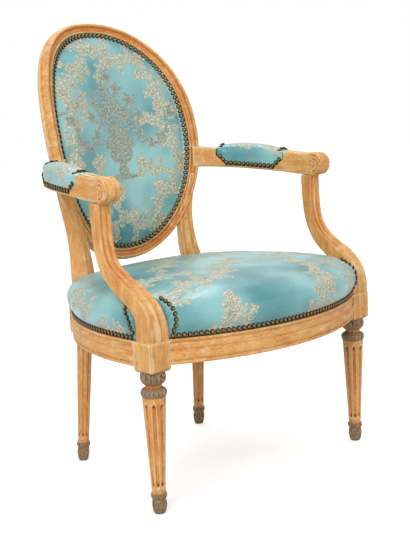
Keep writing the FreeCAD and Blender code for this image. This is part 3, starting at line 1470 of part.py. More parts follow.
def support_nails():
    """The rows up the seat beside each arm support, on the front and on the side of the seat."""
    nails = []
    beside = support_outer - support_width - nail_radius - 0.8
    low = nail_level + nail_pitch
    run = []
    for index in range(21):
        height = low + (float(rail_top) + seat_rise * 0.8 - low) * index / 20
        run.append(front_point(beside, seat_surface_offset(height) + 0.3) + Vector(0, 0, height))
    for number, place in enumerate(along(run)):
        lean = math.radians(blend(place.z, [(low + 40, 0.0), (float(rail_top) + seat_rise * 0.8, 40.0)]))
        outwards = Vector(0.2, -1, 0).normalize() * math.cos(lean) + Vector(0, 0, 1) * math.sin(lean)
        head = nail(place + outwards * 0.7, outwards)
        nails += [head, mirrored(head)]
    run = []
    for index in range(21):
        height = low + (float(rail_top) + seat_rise * 0.66 - low) * index / 20
        y = support_rear_y(height) + nail_radius + 1.2
        run.append(side_point(y, seat_surface_offset(height) + 0.3) + Vector(0, 0, height))
    for place in along(run):
        lean = math.radians(blend(place.z, [(low + 30, 0.0), (float(rail_top) + seat_rise * 0.66, 25.0)]))
        outwards = Vector(1, 0, 0) * math.cos(lean) + Vector(0, 0, 1) * math.sin(lean)
        head = nail(place + outwards * 0.4, outwards)
        nails += [head, mirrored(head)]
    return Part.makeCompound(nails)


solid_feature("support_nails", support_nails())


def oval_nails(out, behind, facing, angles=(0.0, 360.0)):
    """A row of nails round the oval."""
    run = [frame_point(angles[0] + (angles[1] - angles[0]) * index / 240, out, behind) for index in range(241)]
    turns = [angles[0] + (angles[1] - angles[0]) * index / 240 for index in range(241)]
    places = along(run)[:-1]
    nails = []
    for place in places:
        nearest = min(range(241), key=lambda index: (run[index] - place).Length)
        _, _, backwards = frame_axes(turns[nearest])
        nails.append(nail(place, backwards * facing))
    return Part.makeCompound(nails)


solid_feature("back_nails", oval_nails(-nail_radius - 1.0, -1.0, -1))
solid_feature("outer_back_nails", oval_nails(frame_width * 0.25 - nail_radius, frame_depth + layer_gap + cover, 1))


def arm_nails():
    """The row round the right arm's pad: along both sides and over each end."""
    nails = []
    start, end = PAD_START + 0.03, PAD_END - 0.03
    for sign in (-1, 1):
        run = []
        for index in range(61):
            part = start + (end - start) * index / 60
            middle, _, outwards, underside = arm_station(part)
            half = arm_width(part) / 2 - arm_rebate(part) + cover + gap
            level = underside + arm_top(part) - NAIL_SHELF + nail_radius + 1.0
            run.append(middle + outwards * half * sign + Vector(0, 0, level))
        for place in along(run):
            nearest = min(range(61), key=lambda index: (run[index] - place).Length)
            _, _, outwards, _ = arm_station(start + (end - start) * nearest / 60)
            nails.append(nail(place + outwards * sign * 0.7, outwards * sign))
    for part, lean in ((PAD_START + 0.035, -1), (PAD_END - 0.035, 1)):
        middle, forwards, outwards, underside = arm_station(part)
        half = arm_width(part) / 2 - arm_rebate(part) + cover
        base = arm_top(part)
        rise = pad_crown(part) - base
        for across in (-14.5, -4.8, 4.8, 14.5):
            level = underside + base + rise * (1 - 0.6 * (across / half) ** 2) + 1.4
            direction = (Vector(0, 0, 1) + forwards * lean * 0.45 + outwards * across / half * 0.5).normalize()
            nails.append(nail(middle + outwards * across + Vector(0, 0, level), direction))
    return Part.makeCompound(nails)


right_arm_nails = arm_nails()
for side_name, side_sign in SIDES:
    solid_feature(f"{side_name}_arm_nails", on_side(right_arm_nails, side_sign))


# Corner braces with their screws, the draw pegs of the frame and the tacks of the webbing.

BRACE_LOW, BRACE_HIGH = 12.0, 34.0


def brace(corners, block, runs):
    """A corner brace: a sawn block fitted across a corner of the seat frame, with its screws' holes."""
    bottom = float(rail_bottom) + BRACE_LOW
    height = Vector(0, 0, BRACE_HIGH - BRACE_LOW)
    sawn = prism([Vector(x, y, bottom) for x, y in corners], height)
    inside = Part.Face(plan_wire(-float(rail_thickness), bottom)).extrude(height)
    fitted = sawn.common(inside).cut(block)
    return fitted.cut([screw(*run, 0.4) for run in runs])


front_x, front_y = float(block_inner_x), float(leg_y)
rear_x, rear_y = float(post_x - half_post), float(post_y - half_post_depth)
front_brace = brace(
    [
        (front_x - 62, front_y - 60), (330, front_y - 60), (330, front_y + 88), (front_x + 22, front_y + 88),
        (front_x - 62, front_y + 2)],
    corner_box(
        Vector(front_x, front_y - 60, 0), Vector(front_x + 90, front_y + float(half_block), float(upstand_top))),
    brace_screw_runs[:2])
rear_brace = brace(
    [
        (rear_x - 45, rear_y + 70), (rear_x - 45, rear_y + 2), (rear_x + 60, rear_y - 58), (300, rear_y - 58),
        (300, rear_y + 70)],
    corner_box(Vector(rear_x, rear_y, 0), Vector(rear_x + 90, rear_y + 90, float(upstand_top))),
    brace_screw_runs[2:])
for side_name, side_sign in SIDES:
    solid_feature(f"corner_brace_front_{side_name}", on_side(front_brace, side_sign))
    solid_feature(f"corner_brace_rear_{side_name}", on_side(rear_brace, side_sign))
right_screws = [screw(*run) for run in brace_screw_runs]
solid_feature("brace_screws", Part.makeCompound(right_screws + [mirrored(item) for item in right_screws]))
solid_feature("frame_pegs", Part.makeCompound(seat_pegs + [mirrored(item) for item in seat_pegs]))


def webbing_tacks():
    """Two tacks at each end of each seat strap, over the rails."""
    tack = Part.makeCylinder(2.4, 1.2)
    tacks = []
    for strap in doc.getObject("seat_webbing").Shape.Solids:
        box = strap.BoundBox
        lengthways = box.YLength > box.XLength
        for end in (0, 1):
            for shift in (-web_width * 0.28, web_width * 0.28):
                if lengthways:
                    x = (box.XMin + box.XMax) / 2 + shift
                    place = rear_point(x, -11.5) if end else front_point(x, -11.5)
                else:
                    y = (box.YMin + box.YMax) / 2 + shift
                    place = side_point(y, -11.5) if end else mirrored_point(side_point(y, -11.5))
                head = tack.copy()
                head.translate(place + Vector(0, 0, box.ZMax + 0.02))
                if strap.isInside(place + Vector(0, 0, box.ZMax - 0.3), 0.1, True):
                    tacks.append(head)
    return Part.makeCompound(tacks)


def mirrored_point(point):
    """The left-hand twin of a point."""
    return Vector(-point.x, point.y, point.z)


solid_feature("webbing_tacks", webbing_tacks())


doc.recompute()
parts = [item for item in doc.Objects if item.TypeId in ("PartDesign::Body", "Part::Feature")]
failed = [item.Label for item in doc.Objects if "Invalid" in item.State or "Error" in item.State]
for item in parts:
    if item.Shape.isNull() or not item.Shape.isValid() or not item.Shape.Solids:
        failed.append(item.Label)
if failed:
    raise RuntimeError("these failed: " + ", ".join(failed))
os.makedirs("parts", exist_ok=True)
for item in parts:
    item.Shape.exportStep(os.path.join("parts", item.Label + ".step"))
    box = item.Shape.BoundBox
    print(f"{item.Label:26s} solids {len(item.Shape.Solids):4d}  volume {item.Shape.Volume / 1000:9.1f} cm3  "
          f"x {box.XMin:7.1f} {box.XMax:7.1f}  y {box.YMin:7.1f} {box.YMax:7.1f}  z {box.ZMin:6.1f} {box.ZMax:6.1f}")
whole = Part.makeCompound([item.Shape for item in parts]).BoundBox
print(f"whole chair x {whole.XMin:.2f} {whole.XMax:.2f} y {whole.YMin:.2f} {whole.YMax:.2f} z {whole.ZMin:.2f} {whole.ZMax:.2f}")
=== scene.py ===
# %% [markdown]
# An oval-backed armchair, dressed in Blender.
# The imported CAD model comes in first and stays as it is: every visible piece is built round it, in the same place.

# %% Load the frame
import math

import bpy
import numpy as np
from mathutils import Matrix, Vector


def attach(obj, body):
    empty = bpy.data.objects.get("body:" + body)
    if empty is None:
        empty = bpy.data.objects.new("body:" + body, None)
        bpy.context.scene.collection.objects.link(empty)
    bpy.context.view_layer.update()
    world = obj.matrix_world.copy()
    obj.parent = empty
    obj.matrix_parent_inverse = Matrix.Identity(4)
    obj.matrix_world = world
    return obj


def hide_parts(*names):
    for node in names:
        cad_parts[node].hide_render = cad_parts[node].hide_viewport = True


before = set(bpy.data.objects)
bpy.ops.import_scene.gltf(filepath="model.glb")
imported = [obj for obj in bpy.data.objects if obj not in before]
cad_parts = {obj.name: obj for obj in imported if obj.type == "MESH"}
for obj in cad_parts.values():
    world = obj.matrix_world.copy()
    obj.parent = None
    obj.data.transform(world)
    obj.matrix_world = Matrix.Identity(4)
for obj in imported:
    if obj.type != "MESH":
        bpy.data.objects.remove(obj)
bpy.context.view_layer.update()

scene = bpy.context.scene
print("nodes in the frame:", len(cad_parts))

# %% [markdown]
# The camera stands to the left of the chair and a little above the seat, turned 44 degrees, with a long lens.
# The photograph was held slightly askew, so the camera rolls by two and a half degrees.

# %% Camera
YAW, PITCH, ROLL = math.radians(44.0), math.radians(9.072), math.radians(-2.542)
ahead = Vector((math.sin(YAW) * math.cos(PITCH), math.cos(YAW) * math.cos(PITCH), -math.sin(PITCH)))
level = Vector((math.cos(YAW), -math.sin(YAW), 0))
upright = level.cross(ahead)
across = level * math.cos(ROLL) + upright * math.sin(ROLL)
above = upright * math.cos(ROLL) - level * math.sin(ROLL)
bpy.ops.object.select_all(action="DESELECT")
bpy.ops.object.camera_add(location=(-1.7489, -1.8615, 0.812))
camera = bpy.context.object
camera.rotation_euler = Matrix((across, above, -ahead)).transposed().to_euler()
camera.data.lens = 83.0
scene.camera = camera
print("camera lens", camera.data.lens)

# %% [markdown]
# Shader maths reads best as plain expressions. A small class wraps a socket, so that a + b adds a Math node.
# Colours are mixed by Mix nodes, and every other node comes from one method that takes its settings and its inputs.


# %% Sockets as numbers
class Wire:
    """A socket's output that can be added, multiplied and compared."""

    def __init__(self, tree, socket):
        self.tree, self.socket = tree, socket

    def maths(self, operation, *values):
        return self.tree.node("ShaderNodeMath", {"operation": operation}, dict(enumerate(values)))

    def __add__(self, other):
        return self.maths("ADD", self, other)

    __radd__ = __add__

    def __sub__(self, other):
        return self.maths("SUBTRACT", self, other)

    def __rsub__(self, other):
        return self.maths("SUBTRACT", other, self)

    def __mul__(self, other):
        return self.maths("MULTIPLY", self, other)

    __rmul__ = __mul__

    def __truediv__(self, other):
        return self.maths("DIVIDE", self, other)

    def __pow__(self, other):
        return self.maths("POWER", self, other)

    def clamped(self):
        return self.maths("MINIMUM", self.maths("MAXIMUM", self, 0.0), 1.0)

    def step(self, low, high):
        """0 below low, 1 above high, smooth between them."""
        span = self.tree.node(
            "ShaderNodeMapRange", {"interpolation_type": "SMOOTHSTEP"},
            {"Value": self, "From Min": low, "From Max": high, "To Min": 0.0, "To Max": 1.0})
        return span


class Finish:
    """A material with one Principled shader, and short ways to add nodes to it."""

    def __init__(self, name, **constants):
        self.material = bpy.data.materials.new(name)
        self.material.use_nodes = True
        self.nodes = self.material.node_tree.nodes
        self.links = self.material.node_tree.links
        self.shader = self.nodes["Principled BSDF"]
        for socket, value in constants.items():
            self.shader.inputs[socket.replace("_", " ")].default_value = value

    def node(self, kind, settings=None, inputs=None, output=0):
        """A node of a type, with its settings, its inputs and the output that is wanted."""
        node = self.nodes.new(kind)
        for key, value in (settings or {}).items():
            setattr(node, key, value)
        for key, value in (inputs or {}).items():
            self.join(value, node.inputs[key])
        return Wire(self, node.outputs[output])

    def join(self, value, socket):
        if isinstance(value, Wire):
            self.links.new(value.socket, socket)
        else:
            socket.default_value = value

    def attribute(self, name, output="Fac"):
        return self.node("ShaderNodeAttribute", {"attribute_name": name}, output=output)

    def stretched(self, place, scale, shift=(0.0, 0.0, 0.0)):
        """A place multiplied along each axis and moved."""
        return self.node(
            "ShaderNodeVectorMath", {"operation": "MULTIPLY_ADD"}, {0: place, 1: scale, 2: shift}, "Vector")

    def noise(self, place, scale, detail=2.0, roughness=0.5):
        return self.node(
            "ShaderNodeTexNoise", {}, {"Vector": place, "Scale": scale, "Detail": detail, "Roughness": roughness}, 0)

    def mixed(self, first, second, factor):
        """A colour between two others."""
        return self.node(
            "ShaderNodeMix", {"data_type": "RGBA"}, {0: factor, 6: first, 7: second}, 2)

    def surface(self, **values):
        for socket, value in values.items():
            self.join(value, self.shader.inputs[socket.replace("_", " ")])

    def bump(self, height, distance, strength=1.0):
        return self.node(
            "ShaderNodeBump", {}, {"Height": height, "Distance": distance, "Strength": strength}, "Normal")


def tone(code, alpha=1.0):
    """A written colour, such as DEAA6E, as the linear numbers that a shader takes."""
    values = [int(code[at:at + 2], 16) / 255 for at in (0, 2, 4)]
    return tuple(v / 12.92 if v <= 0.04045 else ((v + 0.055) / 1.055) ** 2.4 for v in values) + (alpha,)


# %% [markdown]
# The floor is a plain pale sheet, larger than the view. What the camera sees of it gets a little light of its own,
# so that it turns white, and the chair's shadow still shows on it. The world is white to the camera in the same way.

# %% Floor and world
bpy.ops.object.select_all(action="DESELECT")
bpy.ops.mesh.primitive_plane_add(size=16, location=(0, 0, 0))
floor = bpy.context.object
floor.name = "floor"
pale = Finish("pale_floor", Roughness=1.0, Specular_IOR_Level=0.0)
rays = pale.nodes.new("ShaderNodeLightPath")
seen = (Wire(pale, rays.outputs["Is Camera Ray"]) + Wire(pale, rays.outputs["Is Glossy Ray"])
        + Wire(pale, rays.outputs["Is Transmission Ray"])).clamped()
pale.surface(Base_Color=tone("D6D6D6"))
spot = pale.node("ShaderNodeTexCoord", output="Object")
away = pale.node("ShaderNodeVectorMath", {"operation": "LENGTH"}, {0: spot}, "Value")
colour = pale.mixed((0.76, 0.76, 0.76, 1), (1, 1, 1, 1), away.step(0.5, 2.6))
glow = pale.node("ShaderNodeEmission", {}, {"Color": colour, "Strength": 0.8})
both = pale.node("ShaderNodeAddShader", {}, {0: Wire(pale, pale.shader.outputs[0]), 1: glow})
shown = pale.node("ShaderNodeMixShader", {}, {0: seen, 1: Wire(pale, pale.shader.outputs[0]), 2: both})
pale.links.new(shown.socket, pale.nodes["Material Output"].inputs["Surface"])
floor.data.materials.append(pale.material)

world = bpy.data.worlds.new("studio")
scene.world = world
world.use_nodes = True
sky = world.node_tree
path = sky.nodes.new("ShaderNodeLightPath")
counts = [path.outputs[name] for name in ("Is Camera Ray", "Is Glossy Ray", "Is Transmission Ray")]
total = counts[0]
for count in counts[1:]:
    adder = sky.nodes.new("ShaderNodeMath")
    adder.operation = "ADD"
    adder.use_clamp = True
    sky.links.new(total, adder.inputs[0])
    sky.links.new(count, adder.inputs[1])
    total = adder.outputs[0]
AMBIENT = 0.5
strength = sky.nodes.new("ShaderNodeMapRange")
sky.links.new(total, strength.inputs["Value"])
strength.inputs["To Min"].default_value = AMBIENT
strength.inputs["To Max"].default_value = 1.0
sky.nodes["Background"].inputs["Color"].default_value = (1, 1, 1, 1)
sky.links.new(strength.outputs["Result"], sky.nodes["Background"].inputs["Strength"])
scene.view_settings.view_transform = "Standard"
print("floor and world are ready")

# %% [markdown]
# Three soft lamps: a large one high on the left in front, which lights the left faces most, a weak one on the right,
# and one overhead, whose reflection runs over the satin of the seat.


# %% Lamps
def soft_lamp(name, place, target, size, watts, warmth="FFFFFF"):
    """A square lamp that faces a point."""
    bpy.ops.object.light_add(type="AREA", location=place)
    lamp = bpy.context.object
    lamp.name = name
    lamp.data.shape = "SQUARE"
    lamp.data.size = size
    lamp.data.energy = watts
    lamp.data.color = tone(warmth)[:3]
    lamp.rotation_euler = (Vector(target) - Vector(place)).to_track_quat("-Z", "Y").to_euler()
    return lamp


soft_lamp("key", (-2.6, -1.5, 2.3), (0, 0, 0.5), 1.5, 60)
soft_lamp("fill", (1.4, -3.0, 1.5), (0, 0, 0.5), 2.0, 16, "FFF3E4")
soft_lamp("overhead", (0.7, 1.2, 2.6), (0, 0, 0.4), 1.3, 24)
print("lamps", [item.name for item in bpy.data.lights])

# %% [markdown]
# The frame is honey-coloured beech, once painted and stripped: pale streaks stay on the ridges, and the grooves are
# darker, partly with dirt and partly with painted shade for the recesses. A piece carries three attributes for this:
# grain, its own coordinates with the third along the wood; hollow, above 0 in grooves and below 0 on edges, which
# also sets the painted groove shade; and patina, 1 where the carving is dark with age.


# %% Beech
def beech(name, light, deep, streak, patina_tone):
    finish = Finish(name, Roughness=0.5, Specular_IOR_Level=0.35)
    grain = finish.attribute("grain", "Vector")
    hollow = finish.attribute("hollow")
    patina = finish.attribute("patina")
    broad = finish.noise(finish.stretched(grain, (14, 14, 4)), 1.0, 3.0, 0.6)
    fibre = finish.noise(finish.stretched(grain, (420, 420, 16)), 1.0, 3.0, 0.65)
    fleck = finish.noise(finish.stretched(grain, (900, 900, 130)), 1.0, 1.0, 0.5)
    lime = finish.noise(finish.stretched(grain, (110, 110, 9), (3.0, 1.0, 2.0)), 1.0, 4.0, 0.7)
    blotch = finish.noise(finish.stretched(grain, (45, 45, 30), (1.0, 4.0, 2.0)), 1.0, 4.0, 0.7)
    colour = finish.mixed(tone(light), tone(deep), (broad * 0.75 + fibre * 0.5).step(0.42, 0.86))
    colour = finish.mixed(colour, tone(streak), (lime - hollow * 0.25).step(0.54, 0.74) * 0.6)
    colour = finish.mixed(colour, tone("B97B3C"), fibre.step(0.58, 0.72) * 0.4)
    colour = finish.mixed(colour, tone("A86E38"), fleck.step(0.64, 0.72) * 0.35)
    mottle = finish.noise(finish.stretched(grain, (90, 90, 26), (5.0, 2.0, 7.0)), 1.0, 4.0, 0.65)
    colour = finish.mixed(colour, tone("C87430"), mottle.step(0.5, 0.72) * 0.55)
    colour = finish.mixed(colour, tone("EFD8AC"), mottle.step(0.46, 0.3) * 0.4)
    # Grooves turn orange-brown and then dark brown: partly dirt, partly painted shade in the recesses.
    colour = finish.mixed(colour, tone("C4681F"), (hollow + blotch * 0.5 - 0.2).step(0.1, 0.42) * 0.85)
    colour = finish.mixed(colour, tone("54301A"), (hollow + blotch * 0.6 - 0.3).step(0.35, 0.85) * 0.9)
    colour = finish.mixed(colour, tone("EFD5A6"), (0.0 - hollow + blotch * 0.4 - 0.2).step(0.3, 0.9) * 0.5)
    pits = finish.noise(finish.stretched(grain, (330, 330, 150), (2.0, 3.0, 1.0)), 1.0, 2.0, 0.6)
    colour = finish.mixed(colour, tone("80512A"), (pits + mottle * 0.35).step(0.78, 0.9) * 0.45)
    colour = finish.mixed(colour, tone("F0DDB8"), (pits + mottle * 0.3).step(0.56, 0.44) * 0.3)
    dark = (patina * 1.2 + blotch * 0.9 + hollow * 0.3 - 0.75).step(0.05, 0.75)
    colour = finish.mixed(colour, finish.mixed(tone(patina_tone), tone("41342A"), fleck.step(0.45, 0.6)), dark * 0.85)
    finish.surface(
        Base_Color=colour, Roughness=fibre * 0.2 + 0.42 + dark * 0.12,
        Normal=finish.bump(fibre * 0.6 + fleck * 0.25 + blotch * patina, 0.0006, 0.5))
    return finish.material


WOOD = beech("honey_beech", "E8B56F", "D48B40", "F0D09A", "96836A")
print("wood finish:", WOOD.name)

# %% [markdown]
# Nails are old bronze, nearly black round the rim and bright on the crown: partly oxide and wear, partly painted
# shade and a painted highlight on the dome. Webbing is a herringbone of jute, hessian a plain open weave. Screws and
# tacks are dull steel.


# %% Metals and base cloths
def bronze():
    finish = Finish("nail_bronze", Metallic=0.9, Roughness=0.33)
    place = finish.node("ShaderNodeTexCoord", output="Object")
    worn = finish.noise(place, 900.0, 3.0, 0.6)
    crown = finish.attribute("crown")
    # Dark round the rim and bright on the crown: partly oxide and wear, partly painted shade and a painted highlight.
    colour = finish.mixed(tone("2E2117"), tone("98794A"), (crown + worn * 0.6 - 0.3).step(0.6, 1.1))
    finish.surface(Base_Color=colour, Roughness=0.28 + worn * 0.25, Normal=finish.bump(worn, 0.0003, 0.5))
    return finish.material


def steel():
    finish = Finish("dull_steel", Metallic=1.0, Roughness=0.45)
    place = finish.node("ShaderNodeTexCoord", output="Object")
    worn = finish.noise(place, 700.0, 3.0, 0.6)
    finish.surface(
        Base_Color=finish.mixed(tone("5E5A55"), tone("8D8880"), worn), Roughness=0.35 + worn * 0.3,
        Normal=finish.bump(worn, 0.0002, 0.4))
    return finish.material


def woven(name, warp, weft, threads, stripe=None):
    """A plain weave whose threads follow the piece's own cloth attribute."""
    finish = Finish(name, Roughness=0.85, Specular_IOR_Level=0.2, Sheen_Weight=0.15)
    cloth = finish.attribute("cloth", "Vector")
    across = finish.node(
        "ShaderNodeTexWave", {"bands_direction": "X"}, {"Vector": cloth, "Scale": threads, "Distortion": 0.6}, 1)
    along = finish.node(
        "ShaderNodeTexWave", {"bands_direction": "Y"}, {"Vector": cloth, "Scale": threads, "Distortion": 0.6}, 1)
    slub = finish.noise(finish.stretched(cloth, (60, 900, 60)), 1.0, 3.0, 0.6)
    colour = finish.mixed(tone(warp), tone(weft), (across * 0.5 + slub * 0.6 - along * 0.1).step(0.2, 0.8))
    if stripe:
        edge = finish.attribute("selvedge")
        colour = finish.mixed(colour, tone(stripe), edge.step(0.5, 0.6) * 0.8)
    finish.surface(Base_Color=colour, Normal=finish.bump(across * 0.5 + along * 0.5 + slub * 0.5, 0.0004, 0.6))
    return finish.material


BRONZE = bronze()
STEEL = steel()
JUTE = woven("jute_webbing", "A98F63", "8C7347", 260.0, "6E2E24")
HESSIAN = woven("open_hessian", "B59E74", "9A8156", 190.0)
print("metals and base cloths are ready")

# %% [markdown]
# The covers are satin: a blue-green ground that shines, with broad lighter and darker patches painted into it
# as sheen and shade, and a pattern in matt cream thread.
# Each cover carries the pattern as distances in its own cloth coordinates, which the shader cuts off sharply:
# motif for leaves and flowers, vase for the grey centre piece, and drawing for the fine lines inside both.


# %% Satin
def satin():
    finish = Finish(
        "turquoise_satin", Specular_IOR_Level=0.62, Anisotropic=0.35, Sheen_Weight=0.12, Sheen_Roughness=0.4)
    cloth = finish.attribute("cloth", "Vector")
    motif, vase = finish.attribute("motif"), finish.attribute("vase")
    drawing = finish.attribute("drawing")
    ragged = finish.noise(cloth, 620.0, 2.0, 0.6)
    painted_sheen_and_shade = finish.noise(cloth, 7.0, 2.0, 0.45)
    thread = finish.noise(finish.stretched(cloth, (2400, 160, 2400)), 1.0, 2.0, 0.5)
    rib = finish.noise(finish.stretched(cloth, (200, 1500, 200)), 1.0, 2.0, 0.5)
    lace = finish.noise(cloth, 210.0, 2.0, 0.55)
    gaps = lace.step(0.52, 0.68) * 1.7
    leaf = (0.0 - motif + (ragged - 0.5) * 1.6 - gaps).step(-0.25, 0.35)
    urn = (0.0 - vase + (ragged - 0.5) * 1.2 - gaps * 0.7).step(-0.2, 0.3)
    line = (drawing + (ragged - 0.5) * 0.8).step(0.75, 0.3)
    # The ground's broad lighter and darker patches are painted sheen and shade.
    ground = finish.mixed(tone("4C929A"), tone("95CBCC"), (painted_sheen_and_shade * 0.9 + thread * 0.3 - 0.05).step(0.38, 0.68))
    cream = finish.mixed(tone("A3A994"), tone("EAE4CE"), (lace * 0.8 + ragged * 0.4).step(0.68, 0.42))
    stone = finish.mixed(tone("7E8D84"), tone("C0C4B4"), (lace * 0.8 + ragged * 0.4).step(0.7, 0.44))
    colour = finish.mixed(ground, cream, leaf)
    colour = finish.mixed(colour, stone, urn)
    covered = finish.node("ShaderNodeMath", {"operation": "MAXIMUM"}, {0: leaf, 1: urn})
    colour = finish.mixed(colour, tone("6C8F8C"), line * covered * 0.75)
    finish.surface(
        Base_Color=colour, Roughness=0.3 + covered * 0.34 + thread * 0.06,
        Normal=finish.bump(thread * 0.35 + covered * (rib * 0.8 + 0.5), 0.0004, 0.35))
    return finish.material


SATIN = satin()
print("satin is ready")

# %% [markdown]
# Lengths below are written in millimetres, as on the maker's sheet, and turned into metres when a mesh is filled.
# A few helpers do the hand work: selecting one piece alone, softening a moulding's corners, and laying a grid of
# vertices along sections, so that a moulded or swelling piece keeps even faces from end to end.

# %% Helpers for shapes
MM = 0.001
X, Y, Z = np.eye(3)


def unit(vectors):
    return vectors / np.linalg.norm(vectors, axis=-1, keepdims=True)


def flow(at, table):
    """Reads a table smoothly: its first column is the position, the others are values."""
    table = np.asarray(table, float)
    where, values = table[:, 0], table[:, 1:]
    slopes = np.gradient(values, where, axis=0)
    at = np.clip(np.atleast_1d(np.asarray(at, float)), where[0], where[-1])
    low = np.clip(np.searchsorted(where, at, side="right") - 1, 0, len(where) - 2)
    span = (where[low + 1] - where[low])[:, None]
    t = (at[:, None] - where[low][:, None]) / span
    return ((1 + 2 * t) * (1 - t) ** 2 * values[low] + t * (1 - t) ** 2 * span * slopes[low]
            + t * t * (3 - 2 * t) * values[low + 1] + t * t * (t - 1) * span * slopes[low + 1])


def softened(points, reach, times=2, closed=True):
    """An outline with its corners cut by a short reach, more than once, so that they look rounded."""
    points = [np.asarray(point, float) for point in points]
    for _ in range(times):
        cut = []
        count = len(points)
        for index, point in enumerate(points):
            if not closed and index in (0, count - 1):
                cut.append(point)
                continue
            for other in (points[index - 1], points[(index + 1) % count]):
                run = other - point
                length = np.linalg.norm(run)
                cut.append(point + run / max(length, 1e-9) * min(reach, length * 0.3))
        points = cut
        reach *= 0.45
    return np.array(points)


def dense(points, longest, closed=True):
    """An outline whose long sides are divided."""
    filled = []
    count = len(points)
    for index in range(count if closed else count - 1):
        start, end = np.asarray(points[index], float), np.asarray(points[(index + 1) % count], float)
        steps = max(1, math.ceil(np.linalg.norm(end - start) / longest))
        filled += [start + (end - start) * step / steps for step in range(steps)]
    if not closed:
        filled.append(np.asarray(points[-1], float))
    return np.array(filled)


def between(start, end, count):
    """Points that divide a flat side, so that what is known at its arrises doesn't spread over it."""
    return [tuple(np.asarray(start) + (np.asarray(end) - start) * step / (count + 1)) for step in range(1, count + 1)]


def only(piece):
    bpy.ops.object.select_all(action="DESELECT")
    piece.select_set(True)
    bpy.context.view_layer.objects.active = piece


def read_places(piece):
    """The piece's vertices in millimetres."""
    places = np.empty(len(piece.data.vertices) * 3)
    piece.data.vertices.foreach_get("co", places)
    return places.reshape(-1, 3) / MM


def write_places(piece, places):
    piece.data.vertices.foreach_set("co", (np.asarray(places, float) * MM).ravel())
    piece.data.update()


def closed_up(piece, capped=True):
    """Merges doubles, fills open ends and turns the faces outwards."""
    only(piece)
    bpy.ops.object.mode_set(mode="EDIT")
    bpy.ops.mesh.select_all(action="SELECT")
    bpy.ops.mesh.remove_doubles(threshold=0.000002)
    if capped:
        bpy.ops.mesh.fill_holes(sides=0)
    bpy.ops.mesh.select_all(action="SELECT")
    bpy.ops.mesh.normals_make_consistent(inside=False)
    bpy.ops.object.mode_set(mode="OBJECT")
    return piece


def lofted(name, rows, around=True, capped=True):
    """A grid of vertices laid along sections, given in millimetres; around closes each section."""
    rows = np.asarray(rows, float)
    if around:
        rows = np.concatenate([rows, rows[:, :1]], axis=1)
    bpy.ops.object.select_all(action="DESELECT")
    bpy.ops.mesh.primitive_grid_add(x_subdivisions=rows.shape[1] - 1, y_subdivisions=rows.shape[0] - 1, size=1)
    piece = bpy.context.object
    piece.name = name
    write_places(piece, rows.reshape(-1, 3))
    return closed_up(piece, capped)


def pinched(rows, gap=0.35):
    """Sections whose first and last are drawn in a little, so that a joint shows as a fine line."""
    def drawn(row, follower):
        middle = row.mean(axis=0)
        run = unit(follower.mean(axis=0) - middle)
        smaller = row + unit(middle - row) * gap
        return [smaller, row + run * gap * 1.4]

    first, last = drawn(rows[0], rows[1]), drawn(rows[-1], rows[-2])
    return np.array([first[0], first[1], *rows[1:-1], last[1], last[0]])


# %% [markdown]
# Two attributes are worked out from the finished mesh. Grooves are found as a restorer's thumb finds them: a
# smoothed copy of the surface lies above the real one in a groove and below it on an edge.


# %% Helpers for finishes
def add_attribute(piece, name, values, kind="FLOAT"):
    layer = piece.data.attributes.new(name, kind, "POINT")
    layer.data.foreach_set("vector" if kind == "FLOAT_VECTOR" else "value", np.asarray(values, float).ravel())


def hollows(piece, passes=5, depth=0.6):
    """How far each vertex lies under the smoothed surface, as parts of a depth in millimetres."""
    mesh = piece.data
    count = len(mesh.vertices)
    ends = np.empty(len(mesh.edges) * 2, int)
    mesh.edges.foreach_get("vertices", ends)
    one, two = ends.reshape(-1, 2).T
    places = read_places(piece)
    normals = np.empty(count * 3)
    mesh.vertices.foreach_get("normal", normals)
    share = np.bincount(one, minlength=count) + np.bincount(two, minlength=count)
    smooth = places.copy()
    for _ in range(passes):
        summed = np.stack([
            np.bincount(one, smooth[two, axis], count) + np.bincount(two, smooth[one, axis], count)
            for axis in range(3)], axis=1)
        smooth = smooth * 0.4 + summed / np.maximum(share, 1)[:, None] * 0.6
    return np.clip(((smooth - places) * normals.reshape(-1, 3)).sum(axis=1) / depth, -1.5, 1.5)


def wooden(piece, nodes, axis=(0, 0, 1), patina=None, material=None, angle=40):
    """Finishes a piece of the frame: grain along an axis, hollows, patina, smooth shading, slot and body."""
    third = unit(np.asarray(axis, float))
    first = unit(np.cross(third, Y if abs(third[1]) < 0.8 else X))
    second = np.cross(third, first)
    places = read_places(piece)
    seed = sum(ord(letter) for letter in piece.name) * 0.0137
    add_attribute(piece, "grain", places @ np.stack([first, second, third], axis=1) * MM + seed, "FLOAT_VECTOR")
    add_attribute(piece, "hollow", hollows(piece))
    add_attribute(piece, "patina", np.zeros(len(places)) if patina is None else patina(places))
    only(piece)
    bpy.ops.object.shade_smooth_by_angle(angle=math.radians(angle))
    piece.data.materials.clear()
    piece.data.materials.append(material or WOOD)
    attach(piece, "root")
    if nodes:
        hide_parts(*nodes)
    print(f"{piece.name}: {len(piece.data.polygons)} faces")
    return piece


def joined(name, pieces):
    """One object from several closed shells."""
    bpy.ops.object.select_all(action="DESELECT")
    for piece in pieces:
        piece.select_set(True)
    bpy.context.view_layer.objects.active = pieces[0]
    bpy.ops.object.join()
    pieces[0].name = name
    return pieces[0]


def twin(piece, name):
    """A left-hand copy of a right-hand mesh, before it is finished."""
    only(piece)
    bpy.ops.object.duplicate()
    copy = bpy.context.object
    copy.name = name
    copy.data.transform(Matrix.Scale(-1, 4, (1, 0, 0)))
    copy.data.flip_normals()
    return copy


# %% [markdown]
# The front legs are turned on a lathe, so their outline is spun about its own axis. Flutes and the leaf carving of
# the rings are then pressed in: vertices of the shaft move towards the axis where a flute runs.

